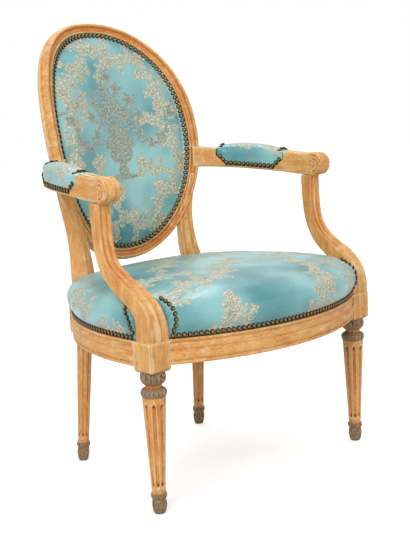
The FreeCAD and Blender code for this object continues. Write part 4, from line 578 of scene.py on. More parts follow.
# %% Turned legs
LEG_X, LEG_Y = 289.5, -200.14
FRONT_TURNING = [
    (0, 0), (9.6, 0), (12.4, 5.8), (14.4, 16), (14.0, 23.2), (12.2, 29), (13.8, 30.6), (15.4, 33.4), (15.4, 38.9),
    (14.0, 42), (12.0, 44), (13.2, 47), (22, 221), (22, 225), (23.2, 227.2), (24.8, 231), (24.8, 235.2),
    (22.6, 239.6), (15.5, 243), (15.5, 248), (19.4, 250), (22.8, 254.4), (24.5, 259), (24.5, 265.5), (23.0, 270.5),
    (20.5, 272.5), (0, 272.5)]
TURNS = 112


def turned(name, outline, longest=3.2):
    """A turned piece standing on the origin, from (radius, height) corners."""
    outline = dense(softened(outline, 1.6, 2, closed=False), longest, closed=False)
    bpy.ops.object.select_all(action="DESELECT")
    bpy.ops.mesh.primitive_circle_add(vertices=len(outline), fill_type="NOTHING")
    piece = bpy.context.object
    piece.name = name
    write_places(piece, np.stack([outline[:, 0], outline[:, 0] * 0, outline[:, 1]], axis=1))
    bpy.ops.object.mode_set(mode="EDIT")
    bpy.ops.mesh.select_all(action="SELECT")
    bpy.ops.mesh.spin(steps=TURNS, angle=math.tau, center=(0, 0, 0), axis=(0, 0, 1))
    bpy.ops.object.mode_set(mode="OBJECT")
    places = read_places(piece)
    on_axis = np.hypot(places[:, 0], places[:, 1]) < 0.01
    places[on_axis, :2] = 0
    write_places(piece, places)
    return closed_up(piece, capped=False)


def pressed(piece, flutes, bands):
    """Flutes down the shaft and carved lobes round the rings; bands are (low, high, lobes, depth)."""
    low, high, count, width, depth, radius_low, radius_high = flutes
    places = read_places(piece)
    angle = np.arctan2(places[:, 1], places[:, 0])
    radius = np.hypot(places[:, 0], places[:, 1])
    height = places[:, 2]
    shaft = radius_low + (radius_high - radius_low) * (height - low) / (high - low)
    turn = (angle / math.tau * count) % 1.0
    off = np.minimum(turn, 1 - turn) * math.tau / count * shaft
    end = np.clip(np.minimum(height - low, high - height) / 4.0, 0, 1)
    groove = np.sqrt(np.clip(1 - (off / (width / 2 * np.sqrt(np.clip(end, 0.02, 1)))) ** 2, 0, 1))
    inside = (height > low) & (height < high)
    sunk = np.where(inside, groove * depth, 0.0)
    for bottom, top, lobes, cut in bands:
        part = np.clip((height - bottom) / (top - bottom), 0, 1)
        lobe = np.abs(np.cos(angle * lobes / 2))
        arch = np.sin(part * math.pi) ** 0.7
        sunk = sunk + np.where((part > 0) & (part < 1), (1 - lobe ** 0.45) * cut * arch, 0.0)
    places[:, :2] *= ((radius - sunk) / np.maximum(radius, 0.01))[:, None]
    write_places(piece, places)
    return piece


front_turning = turned("front_leg_turning", FRONT_TURNING)
pressed(
    front_turning, (54.0, 213.0, 8, 8.0, 2.8, 13.7, 21.4),
    [(250.5, 271.5, 14, 3.0), (227.0, 240.5, 18, 2.2), (31.0, 41.5, 12, 1.5), (4.0, 28.5, 9, 1.8)])
print("front turning:", len(front_turning.data.vertices), "vertices")


# %% [markdown]
# A block sits over each turning, where the rails are tenoned in. It starts as a cube at its size; its lower edge is
# inset and pushed down into a shallow chamfer, and a bevel softens every arris.


# %% Blocks of the front legs
def block(name, low, high, drop=0.0, inset=0.0, bevel=1.4):
    """A square block between two corners in millimetres, with a chamfered underside."""
    low, high = np.asarray(low, float), np.asarray(high, float)
    middle = (low + high) / 2 * MM
    bpy.ops.object.select_all(action="DESELECT")
    bpy.ops.mesh.primitive_cube_add(size=1, location=middle, scale=(high - low) * MM)
    piece = bpy.context.object
    piece.name = name
    bpy.ops.object.transform_apply(location=True, rotation=True, scale=True)
    if drop:
        bpy.ops.object.mode_set(mode="EDIT")
        bpy.ops.mesh.select_all(action="DESELECT")
        bpy.ops.object.mode_set(mode="OBJECT")
        for face in piece.data.polygons:
            face.select = face.normal.z < -0.9
        bpy.ops.object.mode_set(mode="EDIT")
        bpy.ops.mesh.extrude_region_move(TRANSFORM_OT_translate={"value": (0, 0, -drop * MM)})
        bpy.ops.transform.resize(value=(inset, inset, 1), center_override=middle)
        bpy.ops.object.mode_set(mode="OBJECT")
    edges = piece.modifiers.new("arris", "BEVEL")
    edges.width = bevel * MM
    edges.segments = 3
    edges.limit_method = "ANGLE"
    bpy.ops.object.modifier_apply(modifier=edges.name)
    bpy.ops.object.mode_set(mode="EDIT")
    bpy.ops.mesh.select_all(action="SELECT")
    bpy.ops.mesh.subdivide(number_cuts=6)
    bpy.ops.object.mode_set(mode="OBJECT")
    return closed_up(piece)


def front_leg_finished(side):
    """A front leg from its turning and its block."""
    name = "front_right_leg" if side > 0 else "front_left_leg"
    only(front_turning)
    bpy.ops.object.duplicate()
    turning = bpy.context.object
    turning.data.transform(Matrix.Translation((LEG_X * side * MM, LEG_Y * MM, 0)))
    head = block(
        name + "_block", (LEG_X * side - 25, LEG_Y - 25, 276.5), (LEG_X * side + 25, LEG_Y + 25, 330.0), 4.5, 0.86)
    leg = joined(name + "_finished", [head, turning])

    def aged(places):
        height = places[:, 2]
        carved = ((height > 248) & (height < 273)) * 1.0 + ((height > 225) & (height < 243)) * 0.8
        foot = np.clip((46 - height) / 8, 0, 1) * 1.0
        # flank: darker round the block's chamfered underside and the top of the turning.
        flank = np.exp(-((height - 276) / 10) ** 2) * 0.35
        return np.clip(carved + foot + flank + 0.12, 0, 1.2)

    return wooden(leg, [name], patina=aged)


for side in (-1, 1):
    front_leg_finished(side)
bpy.data.objects.remove(front_turning)

# %% [markdown]
# The seat rails share one moulding: a cyma below, a hollow, and a flat band under the nails. Each rail is part of
# a ring, so the moulding is spun about the centre of its bow and sawn off where it meets a leg or a post.

# %% Seat rails
RAIL_BOTTOM, RAIL_HEIGHT, RAIL_THICKNESS = 281.0, 49.0, 28.0
MOULDING = [
    (6.0, 0.0), (2.2, 0.03), (1.2, 0.07), (1.6, 0.115), (4.4, 0.14), (4.4, 0.17), (1.6, 0.20), (0.4, 0.28),
    (0.2, 0.36), (1.0, 0.45), (2.6, 0.50), (4.8, 0.52), (5.0, 0.56), (3.4, 0.60), (2.6, 0.70), (2.8, 0.78),
    (4.4, 0.84), (4.4, 0.88), (1.0, 0.90), (0.0, 0.94), (0.0, 1.0)]
UPSTAND_INSET, UPSTAND_TOP = 12.4, 343.6


def rail_outline():
    """The rail's section as (inset, height), closed."""
    face = [(inset, RAIL_BOTTOM + RAIL_HEIGHT * part) for inset, part in MOULDING]
    back = [(UPSTAND_INSET, 330.0), (UPSTAND_INSET, UPSTAND_TOP), (RAIL_THICKNESS, UPSTAND_TOP)]
    return dense(softened(face + back + [(RAIL_THICKNESS, RAIL_BOTTOM)], 0.9, 2), 2.6)


def spun_rail(name, centre, radius, start, end, cuts):
    """A rail spun about a centre between two angles in degrees, then sawn at planes (place, outward normal)."""
    outline = rail_outline()
    bpy.ops.object.select_all(action="DESELECT")
    bpy.ops.mesh.primitive_circle_add(vertices=len(outline), fill_type="NOTHING")
    piece = bpy.context.object
    piece.name = name
    first = math.radians(start)
    out = np.array([math.cos(first), math.sin(first), 0.0])
    places = np.array([centre[0], centre[1], 0.0]) + np.outer(radius - outline[:, 0], out)
    places = places + np.outer(outline[:, 1], Z)
    write_places(piece, places)
    bpy.ops.object.mode_set(mode="EDIT")
    bpy.ops.mesh.select_all(action="SELECT")
    sweep = math.radians(end - start)
    steps = max(12, round(abs(sweep) * radius / 7))
    bpy.ops.mesh.spin(steps=steps, angle=-sweep, center=(centre[0] * MM, centre[1] * MM, 0), axis=(0, 0, 1))
    bpy.ops.mesh.select_all(action="SELECT")
    bpy.ops.mesh.fill_holes(sides=0)
    for place, normal in cuts:
        bpy.ops.mesh.select_all(action="SELECT")
        bpy.ops.mesh.bisect(
            plane_co=Vector(place) * MM, plane_no=normal, use_fill=True, clear_outer=True, clear_inner=False)
    bpy.ops.object.mode_set(mode="OBJECT")
    return closed_up(piece)


FRONT_CENTRE, FRONT_RADIUS = (0.0, 167.9), 475.0
SIDE_START, SIDE_END = np.array([314.5, LEG_Y + 25]), np.array([187.0, 161.86])
POST_X, POST_Y = 165.0, LEG_Y + 352.0
POST_WIDTH, POST_DEPTH = 44.0, 40.0


def swell_circle(start, end, swell):
    """Centre and radius of the arc that swells out to the right of a chord."""
    chord = end - start
    half = np.linalg.norm(chord) / 2
    radius = (half * half + swell * swell) / (2 * swell)
    outwards = unit(np.array([chord[1], -chord[0]]))
    return (start + end) / 2 + outwards * (swell - radius), radius


SIDE_CENTRE, SIDE_RADIUS = swell_circle(SIDE_START, SIDE_END, 36.0)
REAR_CENTRE, REAR_RADIUS = swell_circle(SIDE_END, SIDE_END * (-1, 1), 22.0)

front = spun_rail(
    "front_rail_finished", FRONT_CENTRE, FRONT_RADIUS, -90 - 37, -90 + 37,
    [((264.3, 0, 0), (1, 0, 0)), ((-264.3, 0, 0), (-1, 0, 0))])
wooden(front, ["front_rail"], axis=X, patina=lambda places: places[:, 2] * 0 + 0.1)

angles = [math.degrees(math.atan2(*(point - SIDE_CENTRE)[::-1])) for point in (SIDE_START, SIDE_END)]
side_rail = spun_rail(
    "right_side_rail_finished", SIDE_CENTRE, SIDE_RADIUS, angles[0] - 4, angles[1] + 3,
    [((0, LEG_Y + 25.2, 0), (0, -1, 0)), ((0, POST_Y - 20.2, 0), (0, 1, 0))])
left_rail = twin(side_rail, "left_side_rail_finished")
for piece, node in ((side_rail, "right_side_rail"), (left_rail, "left_side_rail")):
    wooden(piece, [node], axis=Y, patina=lambda places: places[:, 2] * 0 + 0.05)

reach = math.degrees(math.asin(143 / (REAR_RADIUS - RAIL_THICKNESS))) + 0.6
rear = spun_rail(
    "rear_rail_finished", REAR_CENTRE, REAR_RADIUS, 90 - reach, 90 + reach,
    [((142.8, 0, 0), (1, 0, 0)), ((-142.8, 0, 0), (-1, 0, 0))])
wooden(rear, ["rear_rail"], axis=X)

# %% [markdown]
# The back is an oval on a surface that both leans and curves round the sitter. Any point of it is found in two
# steps: a place in the flat oval, then the same place on the curved surface. Its moulded frame is too long a sweep
# for spin, so a section is laid on the surface at every degree or two and the sections are joined by a grid.

# %% The oval back
TILT = math.radians(12.2)
BACK_ORIGIN = np.array([0, 232.9, 670.0])
BACK_UP = np.array([0, math.sin(TILT), math.cos(TILT)])
BACK_BEHIND = np.array([0, math.cos(TILT), -math.sin(TILT)])
BACK_RADIUS, OVAL_A, OVAL_B = 310.0, 181.0, 239.0
OVAL_POWER, OVAL_EGG = 0.925, 0.024
FRAME_WIDTH, FRAME_DEPTH, REBATE = 22.0, 25.0, 3.8


def oval(degrees, offset=0.0):
    """Points of the oval in its flat layout, moved outwards by an offset."""
    def bare(angle):
        turn = np.radians(angle)
        side, up = np.cos(turn), np.sin(turn)
        wide = OVAL_A * np.sign(side) * np.abs(side) ** OVAL_POWER * (1 + OVAL_EGG * up)
        return np.stack([wide, OVAL_B * np.sign(up) * np.abs(up) ** OVAL_POWER], axis=-1)

    degrees = np.asarray(degrees, float)
    run = unit(bare(degrees + 1.5) - bare(degrees - 1.5))
    normal = np.stack([run[..., 1], -run[..., 0]], axis=-1)
    return bare(degrees) + normal * np.asarray(offset, float)[..., None]


def on_back(flat, behind=0.0):
    """Places on the curved back from their flat ones; behind is the depth under its face."""
    flat = np.asarray(flat, float)
    turn = np.arcsin(np.clip(flat[..., 0] / BACK_RADIUS, -0.99, 0.99))
    radius = BACK_RADIUS + np.asarray(behind, float)
    sideways = radius * np.sin(turn)
    return (BACK_ORIGIN + sideways[..., None] * X + flat[..., 1, None] * BACK_UP
            - (BACK_RADIUS - radius * np.cos(turn))[..., None] * BACK_BEHIND)


def frame_rows(degrees, section):
    """Sections of the oval frame; a section is (out, behind) points."""
    degrees = np.asarray(degrees, float)
    base = on_back(oval(degrees))
    outwards = unit(on_back(oval(degrees, 10.0)) - base)
    along = unit(on_back(oval(degrees + 1.0)) - on_back(oval(degrees - 1.0)))
    behind = unit(np.cross(outwards, along))
    behind = behind * np.where(behind[:, 1:2] < 0, -1, 1)
    section = np.asarray(section, float)
    return (base[:, None] + outwards[:, None] * section[None, :, 0, None]
            + behind[:, None] * section[None, :, 1, None])


def curved(points):
    """Points with arcs filled in: a row of four gives the arc's end and a place halfway along it."""
    filled = []
    for row in points:
        if len(row) == 4 and filled:
            start, end, middle = np.array(filled[-1]), np.array(row[:2], float), np.array(row[2:], float)
            pull = 2 * middle - (start + end) / 2
            for t in (0.17, 0.34, 0.5, 0.66, 0.83, 1.0):
                filled.append(tuple((1 - t) ** 2 * start + 2 * t * (1 - t) * pull + t * t * end))
        else:
            filled.append(tuple(row[:2]))
    return filled


FRAME_SECTION = dense(softened(curved([
    (0.2, REBATE + 1), (0.2, 0.8), (5, 0.8, 2.5, -1.0), (5.4, 3.0), (15.5, 2.6, 10.5, 5.0), (16, 0.8),
    (22, 2.6, 19.4, -0.9), (22, 6), (22, 13, 23.4, 9.5), (22, 20), (18, 25), (-12.6, 25), (-12.6, REBATE + 1)]),
    0.7, 1), 3.0)
CREST_JOINT, LOWER_JOINT = -8.0, -54.0
crest_turns = np.linspace(CREST_JOINT, 180 - CREST_JOINT, 150)
crest = lofted("crest_rail_finished", pinched(frame_rows(crest_turns, FRAME_SECTION)))
wooden(crest, ["crest_rail"], axis=X, patina=lambda places: places[:, 2] * 0 + 0.05)
lower_turns = np.linspace(LOWER_JOINT, -180 - LOWER_JOINT, 58)
lower = lofted("lower_back_rail_finished", pinched(frame_rows(lower_turns, FRAME_SECTION)))
wooden(lower, ["lower_back_rail"], axis=X)

# %% [markdown]
# A rear post is one piece of wood from the floor to the crest: a leaning turned leg, a block, a stile that narrows
# and turns to face the sitter, and the side of the oval. Each stretch is its own closed shell, sunk a little into
# the next, and the shells are joined into one object.

# %% Rear posts
REAR_TURNING = [
    (0, -3), (9.0, -3), (9.6, 0), (11.4, 5.8), (13.2, 16), (12.9, 23.2), (11.3, 29), (12.8, 30.8), (14.2, 33.4),
    (14.2, 38.9), (13.0, 42), (10.9, 44), (11.8, 46), (16.5, 262.2), (16.5, 265.7), (19.0, 268.7), (20, 272.7),
    (20, 276.7), (18.6, 281.7), (18.0, 284), (0, 284)]
rear_foot = np.array([POST_X + 8, POST_Y + 20, 0])
rear_top = np.array([POST_X, POST_Y, RAIL_BOTTOM])
lean = Vector(rear_top - rear_foot).normalized()


def stile_outline(width, depth):
    """The stile's section from its front outer corner: inwards across the face, and behind it."""
    steps = [(0.0, 1.8), (0.04, 0.0), (0.2, 0.0), (0.24, 2.2), (0.32, 2.2), (0.37, 0.3), (0.63, 0.3), (0.68, 2.2)]
    steps += [(0.76, 2.2), (0.8, 0.0), (0.96, 0.0), (1.0, 1.8)]
    corners = [(width * part, drop) for part, drop in steps]
    corners += between(corners[-1], (width, depth), 8) + [(width, depth)]
    corners += between((width, depth), (0.0, depth), 8) + [(0.0, depth)]
    corners += between((0.0, depth), corners[0], 8)
    return softened(corners, 1.0, 2)


def back_front_y(x, height):
    """How far back the face of the curved back is at a place."""
    v = (height - BACK_ORIGIN[2]) / math.cos(TILT)
    return BACK_ORIGIN[1] + v * math.sin(TILT) - (BACK_RADIUS - math.sqrt(BACK_RADIUS ** 2 - x * x)) * math.cos(TILT)


def stile_rows():
    """Sections up the stile, as corner, turn, width and depth at parts of its rise."""
    join = frame_rows([-22.0], [(FRAME_WIDTH - 3, 0)])[0, 0]
    bottom = 338.0
    rise = join[2] - bottom
    spread, front = 160.5, POST_Y - 20
    table = []
    for part, narrowed, thinned, turn in ((0, 0, 0, 0), (.095, .34, .1, 12), (.187, .65, .5, 23), (.266, .82, 1, 29)):
        height = bottom + rise * part
        outer = 187 + (spread - 187) * narrowed
        y = front + (back_front_y(outer, height) + 1 - front) * min(narrowed / 0.82, 1.0)
        table.append((part, outer, y, math.radians(turn), 44 - 3 * thinned, 40 - 2 * thinned))
    for part, widened, wide, deep in (
            (.365, .05, .9, .95), (.484, 0, .79, .88), (.603, .06, .73, .84), (.742, .32, .7, .8),
            (.88, .7, .65, .75), (1.0, 1.0, .55, .68)):
        height = bottom + rise * part
        outer = spread + (join[0] - spread) * widened
        turn = math.asin(outer * 0.92 / BACK_RADIUS)
        table.append((part, outer, back_front_y(outer, height) + 1, turn, 41 * wide, 38 * deep))
    parts = np.linspace(0, 1, 64)
    rows = []
    for part, (outer, y, turn, width, depth) in zip(parts, flow(parts, table)):
        inwards = np.array([-math.cos(turn), math.sin(turn), 0])
        behind = np.array([math.sin(turn), math.cos(turn), 0])
        corner = np.array([outer, y, bottom + rise * part])
        outline = stile_outline(width, depth)
        rows.append(corner + np.outer(outline[:, 0], inwards) + np.outer(outline[:, 1], behind))
    return np.array(rows)


rear_turning = turned("rear_leg_turning", REAR_TURNING)
pressed(
    rear_turning, (54.0, 255.0, 8, 6.2, 2.2, 12.2, 16.2),
    [(31.0, 41.5, 12, 1.3), (4.0, 28.5, 9, 1.6)])
rear_turning.data.transform(
    Matrix.Translation(rear_foot * MM) @ Vector((0, 0, 1)).rotation_difference(lean).to_matrix().to_4x4())
only(rear_turning)
bpy.ops.object.mode_set(mode="EDIT")
bpy.ops.mesh.select_all(action="SELECT")
bpy.ops.mesh.bisect(plane_co=(0, 0, 0), plane_no=(0, 0, -1), use_fill=True, clear_outer=True)
bpy.ops.object.mode_set(mode="OBJECT")
closed_up(rear_turning)
post_low = (POST_X - POST_WIDTH / 2, POST_Y - POST_DEPTH / 2, RAIL_BOTTOM)
post_high = (POST_X + POST_WIDTH / 2, POST_Y + POST_DEPTH / 2, 344.0)
post_block = block("rear_post_block", post_low, post_high)
stile = lofted("rear_stile", stile_rows())
side_turns = np.linspace(LOWER_JOINT, CREST_JOINT, 40)
frame_side = lofted("frame_side", pinched(frame_rows(side_turns, FRAME_SECTION)))
right_post = joined("rear_right_post_finished", [post_block, rear_turning, stile, frame_side])
left_post = twin(right_post, "rear_left_post_finished")


def worn_foot(places):
    return np.clip((46 - places[:, 2]) / 8, 0, 1) + 0.05


for piece, node in ((right_post, "rear_right_post"), (left_post, "rear_left_post")):
    wooden(piece, [node], patina=worn_foot)

# %% [markdown]
# An arm support sweeps back and up in an S, like a rope of three reeds. Its section, with two hollows in front, is
# carried along a middle line that is read smoothly from a few measured stations.

# %% Arm supports
SUPPORT_OUTER, SUPPORT_SWEEP, ARM_BOTTOM = 313.5, 115.0, 577.5
SUPPORT_WIDTH, SUPPORT_NARROWING = 48.0, 16.0
SUPPORT_PATH = [
    (-0.043, 0.0, 19.0, 0.0), (-0.039, 0.09, 19.0, 0.05), (0.022, 0.202, 17.0, 0.25), (0.239, 0.303, 15.5, 0.5),
    (0.474, 0.370, 14.5, 0.7), (0.726, 0.457, 13.5, 0.9), (0.87, 0.546, 12.0, 1.0), (0.955, 0.66, 11.5, 1.0),
    (0.99, 0.808, 12.0, 1.0), (1.0, 0.95, 12.5, 1.0), (1.0, 1.0, 12.5, 1.0)]
SUPPORT_STEPS = [
    (0.0, 0.9), (0.03, 0.0), (0.17, 0.0), (0.21, 1.9), (0.29, 3.0), (0.37, 2.4), (0.41, 0.3), (0.59, 0.3),
    (0.63, 2.4), (0.71, 3.0), (0.79, 1.9), (0.83, 0.0), (0.97, 0.0), (1.0, 0.9)]


def support_lines(count=90):
    """The support's middle line with its directions, half depths and widths."""
    table = []
    for number, (sweep, rise, half, narrowed) in enumerate(SUPPORT_PATH):
        y = LEG_Y + SUPPORT_SWEEP * sweep
        z = 330.0 + (ARM_BOTTOM + 0.6 - 330.0) * rise
        table.append((number, y, z, half, SUPPORT_WIDTH - SUPPORT_NARROWING * narrowed))
    y, z, half, width = flow(np.linspace(0, len(table) - 1, count), table).T
    run = unit(np.stack([np.gradient(y), np.gradient(z)], axis=1))
    ease = np.clip(np.minimum(np.arange(count), count - 1 - np.arange(count)) / 5, 0, 1)[:, None]
    run = unit(run * ease + np.array([0, 1]) * (1 - ease))
    return y, z, half, width, run


def support_rows():
    rows = []
    for y, z, half, width, run in zip(*support_lines()):
        behind = np.array([0, run[1], -run[0]])
        corners = [(SUPPORT_OUTER - width * (1 - part), -(half - drop)) for part, drop in SUPPORT_STEPS]
        outer, inner = (SUPPORT_OUTER, half), (SUPPORT_OUTER - width, half)
        corners += between(corners[-1], outer, 7) + [outer] + between(outer, inner, 8) + [inner]
        corners += between(inner, corners[0], 7)
        outline = softened(corners, 1.0, 2)
        rows.append(np.outer(outline[:, 0], X) + np.array([0, y, z]) + np.outer(outline[:, 1], behind))
    return np.array(rows)


right_support = lofted("right_arm_support_finished", pinched(support_rows(), 0.5))
left_support = twin(right_support, "left_arm_support_finished")
for piece, node in ((right_support, "right_arm_support"), (left_support, "left_arm_support")):
    wooden(piece, [node], patina=lambda places: places[:, 2] * 0 + 0.03)

# %% [markdown]
# The arm leaves the post outwards, turns forwards under its pad and rolls over into a scroll. The bar is a loft
# along a smooth plan line. The scroll is a drum spun about a level axis, with a spiral pressed into both ends.

# %% Arms
SCROLL_RADIUS, ARM_HEIGHT = 24.5, 602.0
SCROLL_X, SCROLL_Y = SUPPORT_OUTER - 16, LEG_Y + SUPPORT_SWEEP - 19.5
ARM_PLAN = [
    (0.0, 0.0), (0.26, 0.085), (0.48, 0.2), (0.655, 0.35), (0.78, 0.52), (0.885, 0.7), (0.96, 0.86), (1.0, 1.0)]
ARM_CLIMB = [
    (0.0, 1.0), (0.129, 0.95), (0.257, 0.86), (0.406, 0.74), (0.565, 0.58), (0.728, 0.37), (0.877, 0.12), (1.0, 0.0)]
PAD_START, PAD_END, PAD_RAMP = 0.19, 0.755, 0.085
NAIL_SHELF = 16.0
ARM_TAIL, ARM_WOOD, PAD_RISE, SCROLL_WIDTH = 47.0, 21.0, 34.0, 36.0

root_v = (ARM_HEIGHT + 20 - BACK_ORIGIN[2]) / math.cos(TILT)
root_angle = -math.degrees(math.asin(abs(root_v / OVAL_B) ** (1 / OVAL_POWER)))
ARM_ROOT = frame_rows([root_angle], [(9, 12)])[0, 0]
plan = np.array(ARM_PLAN) * (SCROLL_X - ARM_ROOT[0], SCROLL_Y - ARM_ROOT[1]) + ARM_ROOT[:2]
chords = np.concatenate([[0], np.cumsum(np.linalg.norm(np.diff(plan, axis=0), axis=1))])
arm_plan = flow(np.linspace(0, chords[-1], 400), np.column_stack([chords, plan]))
arm_run = np.concatenate([[0], np.cumsum(np.linalg.norm(np.diff(arm_plan, axis=0), axis=1))])
arm_run /= arm_run[-1]


def arm_at(part):
    """Middle, forward and outward directions and underside of the arm at parts of its length."""
    part = np.atleast_1d(np.asarray(part, float))
    middle = np.stack([np.interp(part, arm_run, arm_plan[:, axis]) for axis in (0, 1)], axis=1)
    slope = np.gradient(arm_plan, axis=0)
    forwards = unit(np.stack([np.interp(part, arm_run, slope[:, axis]) for axis in (0, 1)], axis=1))
    outwards = np.stack([-forwards[:, 1], forwards[:, 0], forwards[:, 0] * 0], axis=1)
    outwards = outwards * np.where(outwards[:, :1] < 0, -1, 1)
    underside = ARM_BOTTOM + 20.5 * flow(part, ARM_CLIMB)[:, 0]
    middle = np.column_stack([middle, part * 0])
    forwards = np.column_stack([forwards, part * 0])
    return middle, forwards, outwards, underside


def arm_width(part):
    return flow(part, [
        (0.0, 34.2), (PAD_START - 0.07, 41.0), (PAD_START, 46.5), (0.35, 50), (0.6, 48.5), (PAD_END, 43.0),
        (0.86, 36.7), (1.0, 36)])[:, 0]


def arm_top(part):
    """The height of the arm's wood over its underside, read straight between its corners."""
    return np.interp(part, [
        0.0, PAD_START - 0.06, PAD_START, PAD_START + PAD_RAMP, PAD_END - PAD_RAMP, PAD_END, 0.86, 1.0],
        [ARM_TAIL, ARM_TAIL * 0.9, ARM_TAIL * 0.9, ARM_WOOD, ARM_WOOD, SCROLL_RADIUS * 1.86, SCROLL_RADIUS * 1.88,
         SCROLL_RADIUS * 2])


def arm_rows():
    parts = np.unique(np.concatenate([
        np.linspace(0, PAD_START - 0.012, 16), [PAD_START - 0.006, PAD_START - 0.004],
        np.linspace(PAD_START, PAD_END, 60), [PAD_END + 0.004, PAD_END + 0.006],
        np.linspace(PAD_END + 0.012, 1, 26)]))
    middle, _, outwards, underside = arm_at(parts)
    half, top = arm_width(parts) / 2, arm_top(parts)
    rows = []
    for index, part in enumerate(parts):
        wide, high = half[index], top[index]
        under_pad = PAD_START - 0.005 < part < PAD_END + 0.005
        if under_pad:
            high = high - NAIL_SHELF
        groove = min(2.0, high * 0.05) if not under_pad else 0.6
        tall = max(high - 2.5, 4.6)
        side = [((wide - 6) * step / 5, 0) for step in range(1, 6)] + [(wide - 1.5, 1.6), (wide, 4)]
        side += between((wide, 4.0), (wide - 0.4, tall), 8)
        side += [(wide - 0.4, tall),
                (wide - 1.6, high - 0.6), (wide - 4.5, high), (wide * 0.62, high), (wide * 0.5, high - groove),
                (wide * 0.3, high - groove), (wide * 0.2, high)]
        side = [(across, min(up, high)) for across, up in side]
        outline = softened(side + [(-across, up) for across, up in reversed(side)], 0.8, 1)
        rows.append(
            middle[index] + np.outer(outline[:, 0], outwards[index]) + np.outer(outline[:, 1] + underside[index], Z))
    return np.array(rows)


def scroll():
    """The rolled end of an arm: rim with two hollows round it, and a spiral on each face."""
    half = SCROLL_WIDTH / 2
    rim = [(-half, 0), (-half, 6), (-half, 22.6), (-half + 1.4, 24.4), (-half + 4.6, 24.5), (-half + 6.2, 22.6),
           (-half + 9.2, 22.1), (-half + 11.6, 22.8), (-half + 13, 24.5)]
    rim = rim + [(-across, radius) for across, radius in reversed(rim)]
    outline = dense(softened(rim, 0.7, 2, closed=False), 0.9, closed=False)
    bpy.ops.object.select_all(action="DESELECT")
    bpy.ops.mesh.primitive_circle_add(vertices=len(outline), fill_type="NOTHING")
    piece = bpy.context.object
    piece.name = "scroll"
    middle, forwards, outwards, _ = (item[0] for item in arm_at([1.0]))
    centre = np.array([middle[0], middle[1], ARM_HEIGHT])
    write_places(piece, centre + np.outer(outline[:, 0], outwards) + np.outer(outline[:, 1], Z))
    bpy.ops.object.mode_set(mode="EDIT")
    bpy.ops.mesh.select_all(action="SELECT")
    bpy.ops.mesh.spin(steps=96, angle=math.tau, center=centre * MM, axis=outwards)
    bpy.ops.object.mode_set(mode="OBJECT")
    places = read_places(piece) - centre
    along = places @ outwards
    flat = places - np.outer(along, outwards)
    radius = np.linalg.norm(flat, axis=1)
    angle = np.arctan2(flat @ Z, flat @ forwards)
    turns = (radius - 5.0) / 8.2 + angle / math.tau
    line = np.abs(turns - np.round(turns)) * 8.2
    cut = np.clip(1 - line / 1.5, 0, 1) * 1.5 * ((radius > 5.2) & (radius < 22.4)) * (np.abs(along) > half - 0.3)
    eye = np.clip(1 - (radius / 5.2) ** 2, 0, 1) * 1.4 * (np.abs(along) > half - 0.3)
    flat[radius < 0.02] = 0
    along = np.sign(along) * (np.abs(along) - cut + eye)
    write_places(piece, centre + flat + np.outer(along, outwards))
    return closed_up(piece, capped=False)


arm_bar = lofted("arm_bar", arm_rows())
right_arm = joined("right_arm_finished", [arm_bar, scroll()])
left_arm = twin(right_arm, "left_arm_finished")
for piece, node in ((right_arm, "right_arm"), (left_arm, "left_arm")):
    wooden(piece, [node], axis=Y, patina=lambda places: places[:, 2] * 0 + 0.08)

# %% [markdown]
# Upholstery. Every pad starts as a grid of even faces laid over the shape that the upholsterer would stuff, with the
# cloth's own flat coordinates kept as an attribute. Blender's cloth then blows it up a little, while the vertices
# under the nails are held, and one subdivision smooths it. The pattern is drawn last, in the cloth's coordinates.


# %% Helpers for pads
def add_cloth(piece, flat):
    """Keeps the cloth's flat coordinates, given in millimetres, on the vertices."""
    flat = np.asarray(flat, float).reshape(-1, 2)
    add_attribute(piece, "cloth", np.column_stack([flat, np.zeros(len(flat))]) * MM, "FLOAT_VECTOR")


def laid_pad(name, rows, flat, capped=True):
    """A pad or sheet from rings of places and the same rings of the flat cloth."""
    rows = np.concatenate([rows, rows[:, :1]], axis=1)
    flat = np.concatenate([flat, flat[:, :1]], axis=1)
    bpy.ops.object.select_all(action="DESELECT")
    bpy.ops.mesh.primitive_grid_add(x_subdivisions=rows.shape[1] - 1, y_subdivisions=rows.shape[0] - 1, size=1)
    piece = bpy.context.object
    piece.name = name
    write_places(piece, rows.reshape(-1, 3))
    add_cloth(piece, flat)
    return closed_up(piece, capped)


def blown_up(piece, held, pressure, cap):
    """Swells a pad with the cloth solver; held vertices stay, and none moves further than a cap."""
    before = read_places(piece)
    group = piece.vertex_groups.new(name="nailed")
    group.add([int(number) for number in np.flatnonzero(held(before))], 1.0, "REPLACE")
    only(piece)
    filling = piece.modifiers.new("filling", "CLOTH")
    filling.settings.use_pressure = True
    filling.settings.uniform_pressure_force = pressure
    filling.settings.vertex_group_mass = "nailed"
    filling.settings.effector_weights.gravity = 0
    filling.settings.quality = 3
    filling.settings.tension_stiffness = 25
    filling.settings.compression_stiffness = 25
    for number in range(1, 21):
        scene.frame_set(number)
    bpy.ops.object.modifier_apply(modifier=filling.name)
    moved = read_places(piece) - before
    length = np.linalg.norm(moved, axis=1)
    write_places(piece, before + moved * np.minimum(1, cap / np.maximum(length, 1e-6))[:, None])
    scene.frame_set(1)
    piece.vertex_groups.clear()
    print(f"{piece.name}: the filling moved it by up to {length.max():.1f} mm, capped at {cap}")
    only(piece)
    smooth = piece.modifiers.new("smooth", "SUBSURF")
    smooth.levels = smooth.render_levels = 1
    bpy.ops.object.modifier_apply(modifier=smooth.name)
    bpy.ops.object.shade_smooth()
    return piece


# %% [markdown]
# The pattern is common ornament of branches, leaves and small flowers. Each shape is known by how far a place lies
# outside it, so that leaves and stems join without seams, and the shader cuts them off sharply at nought.


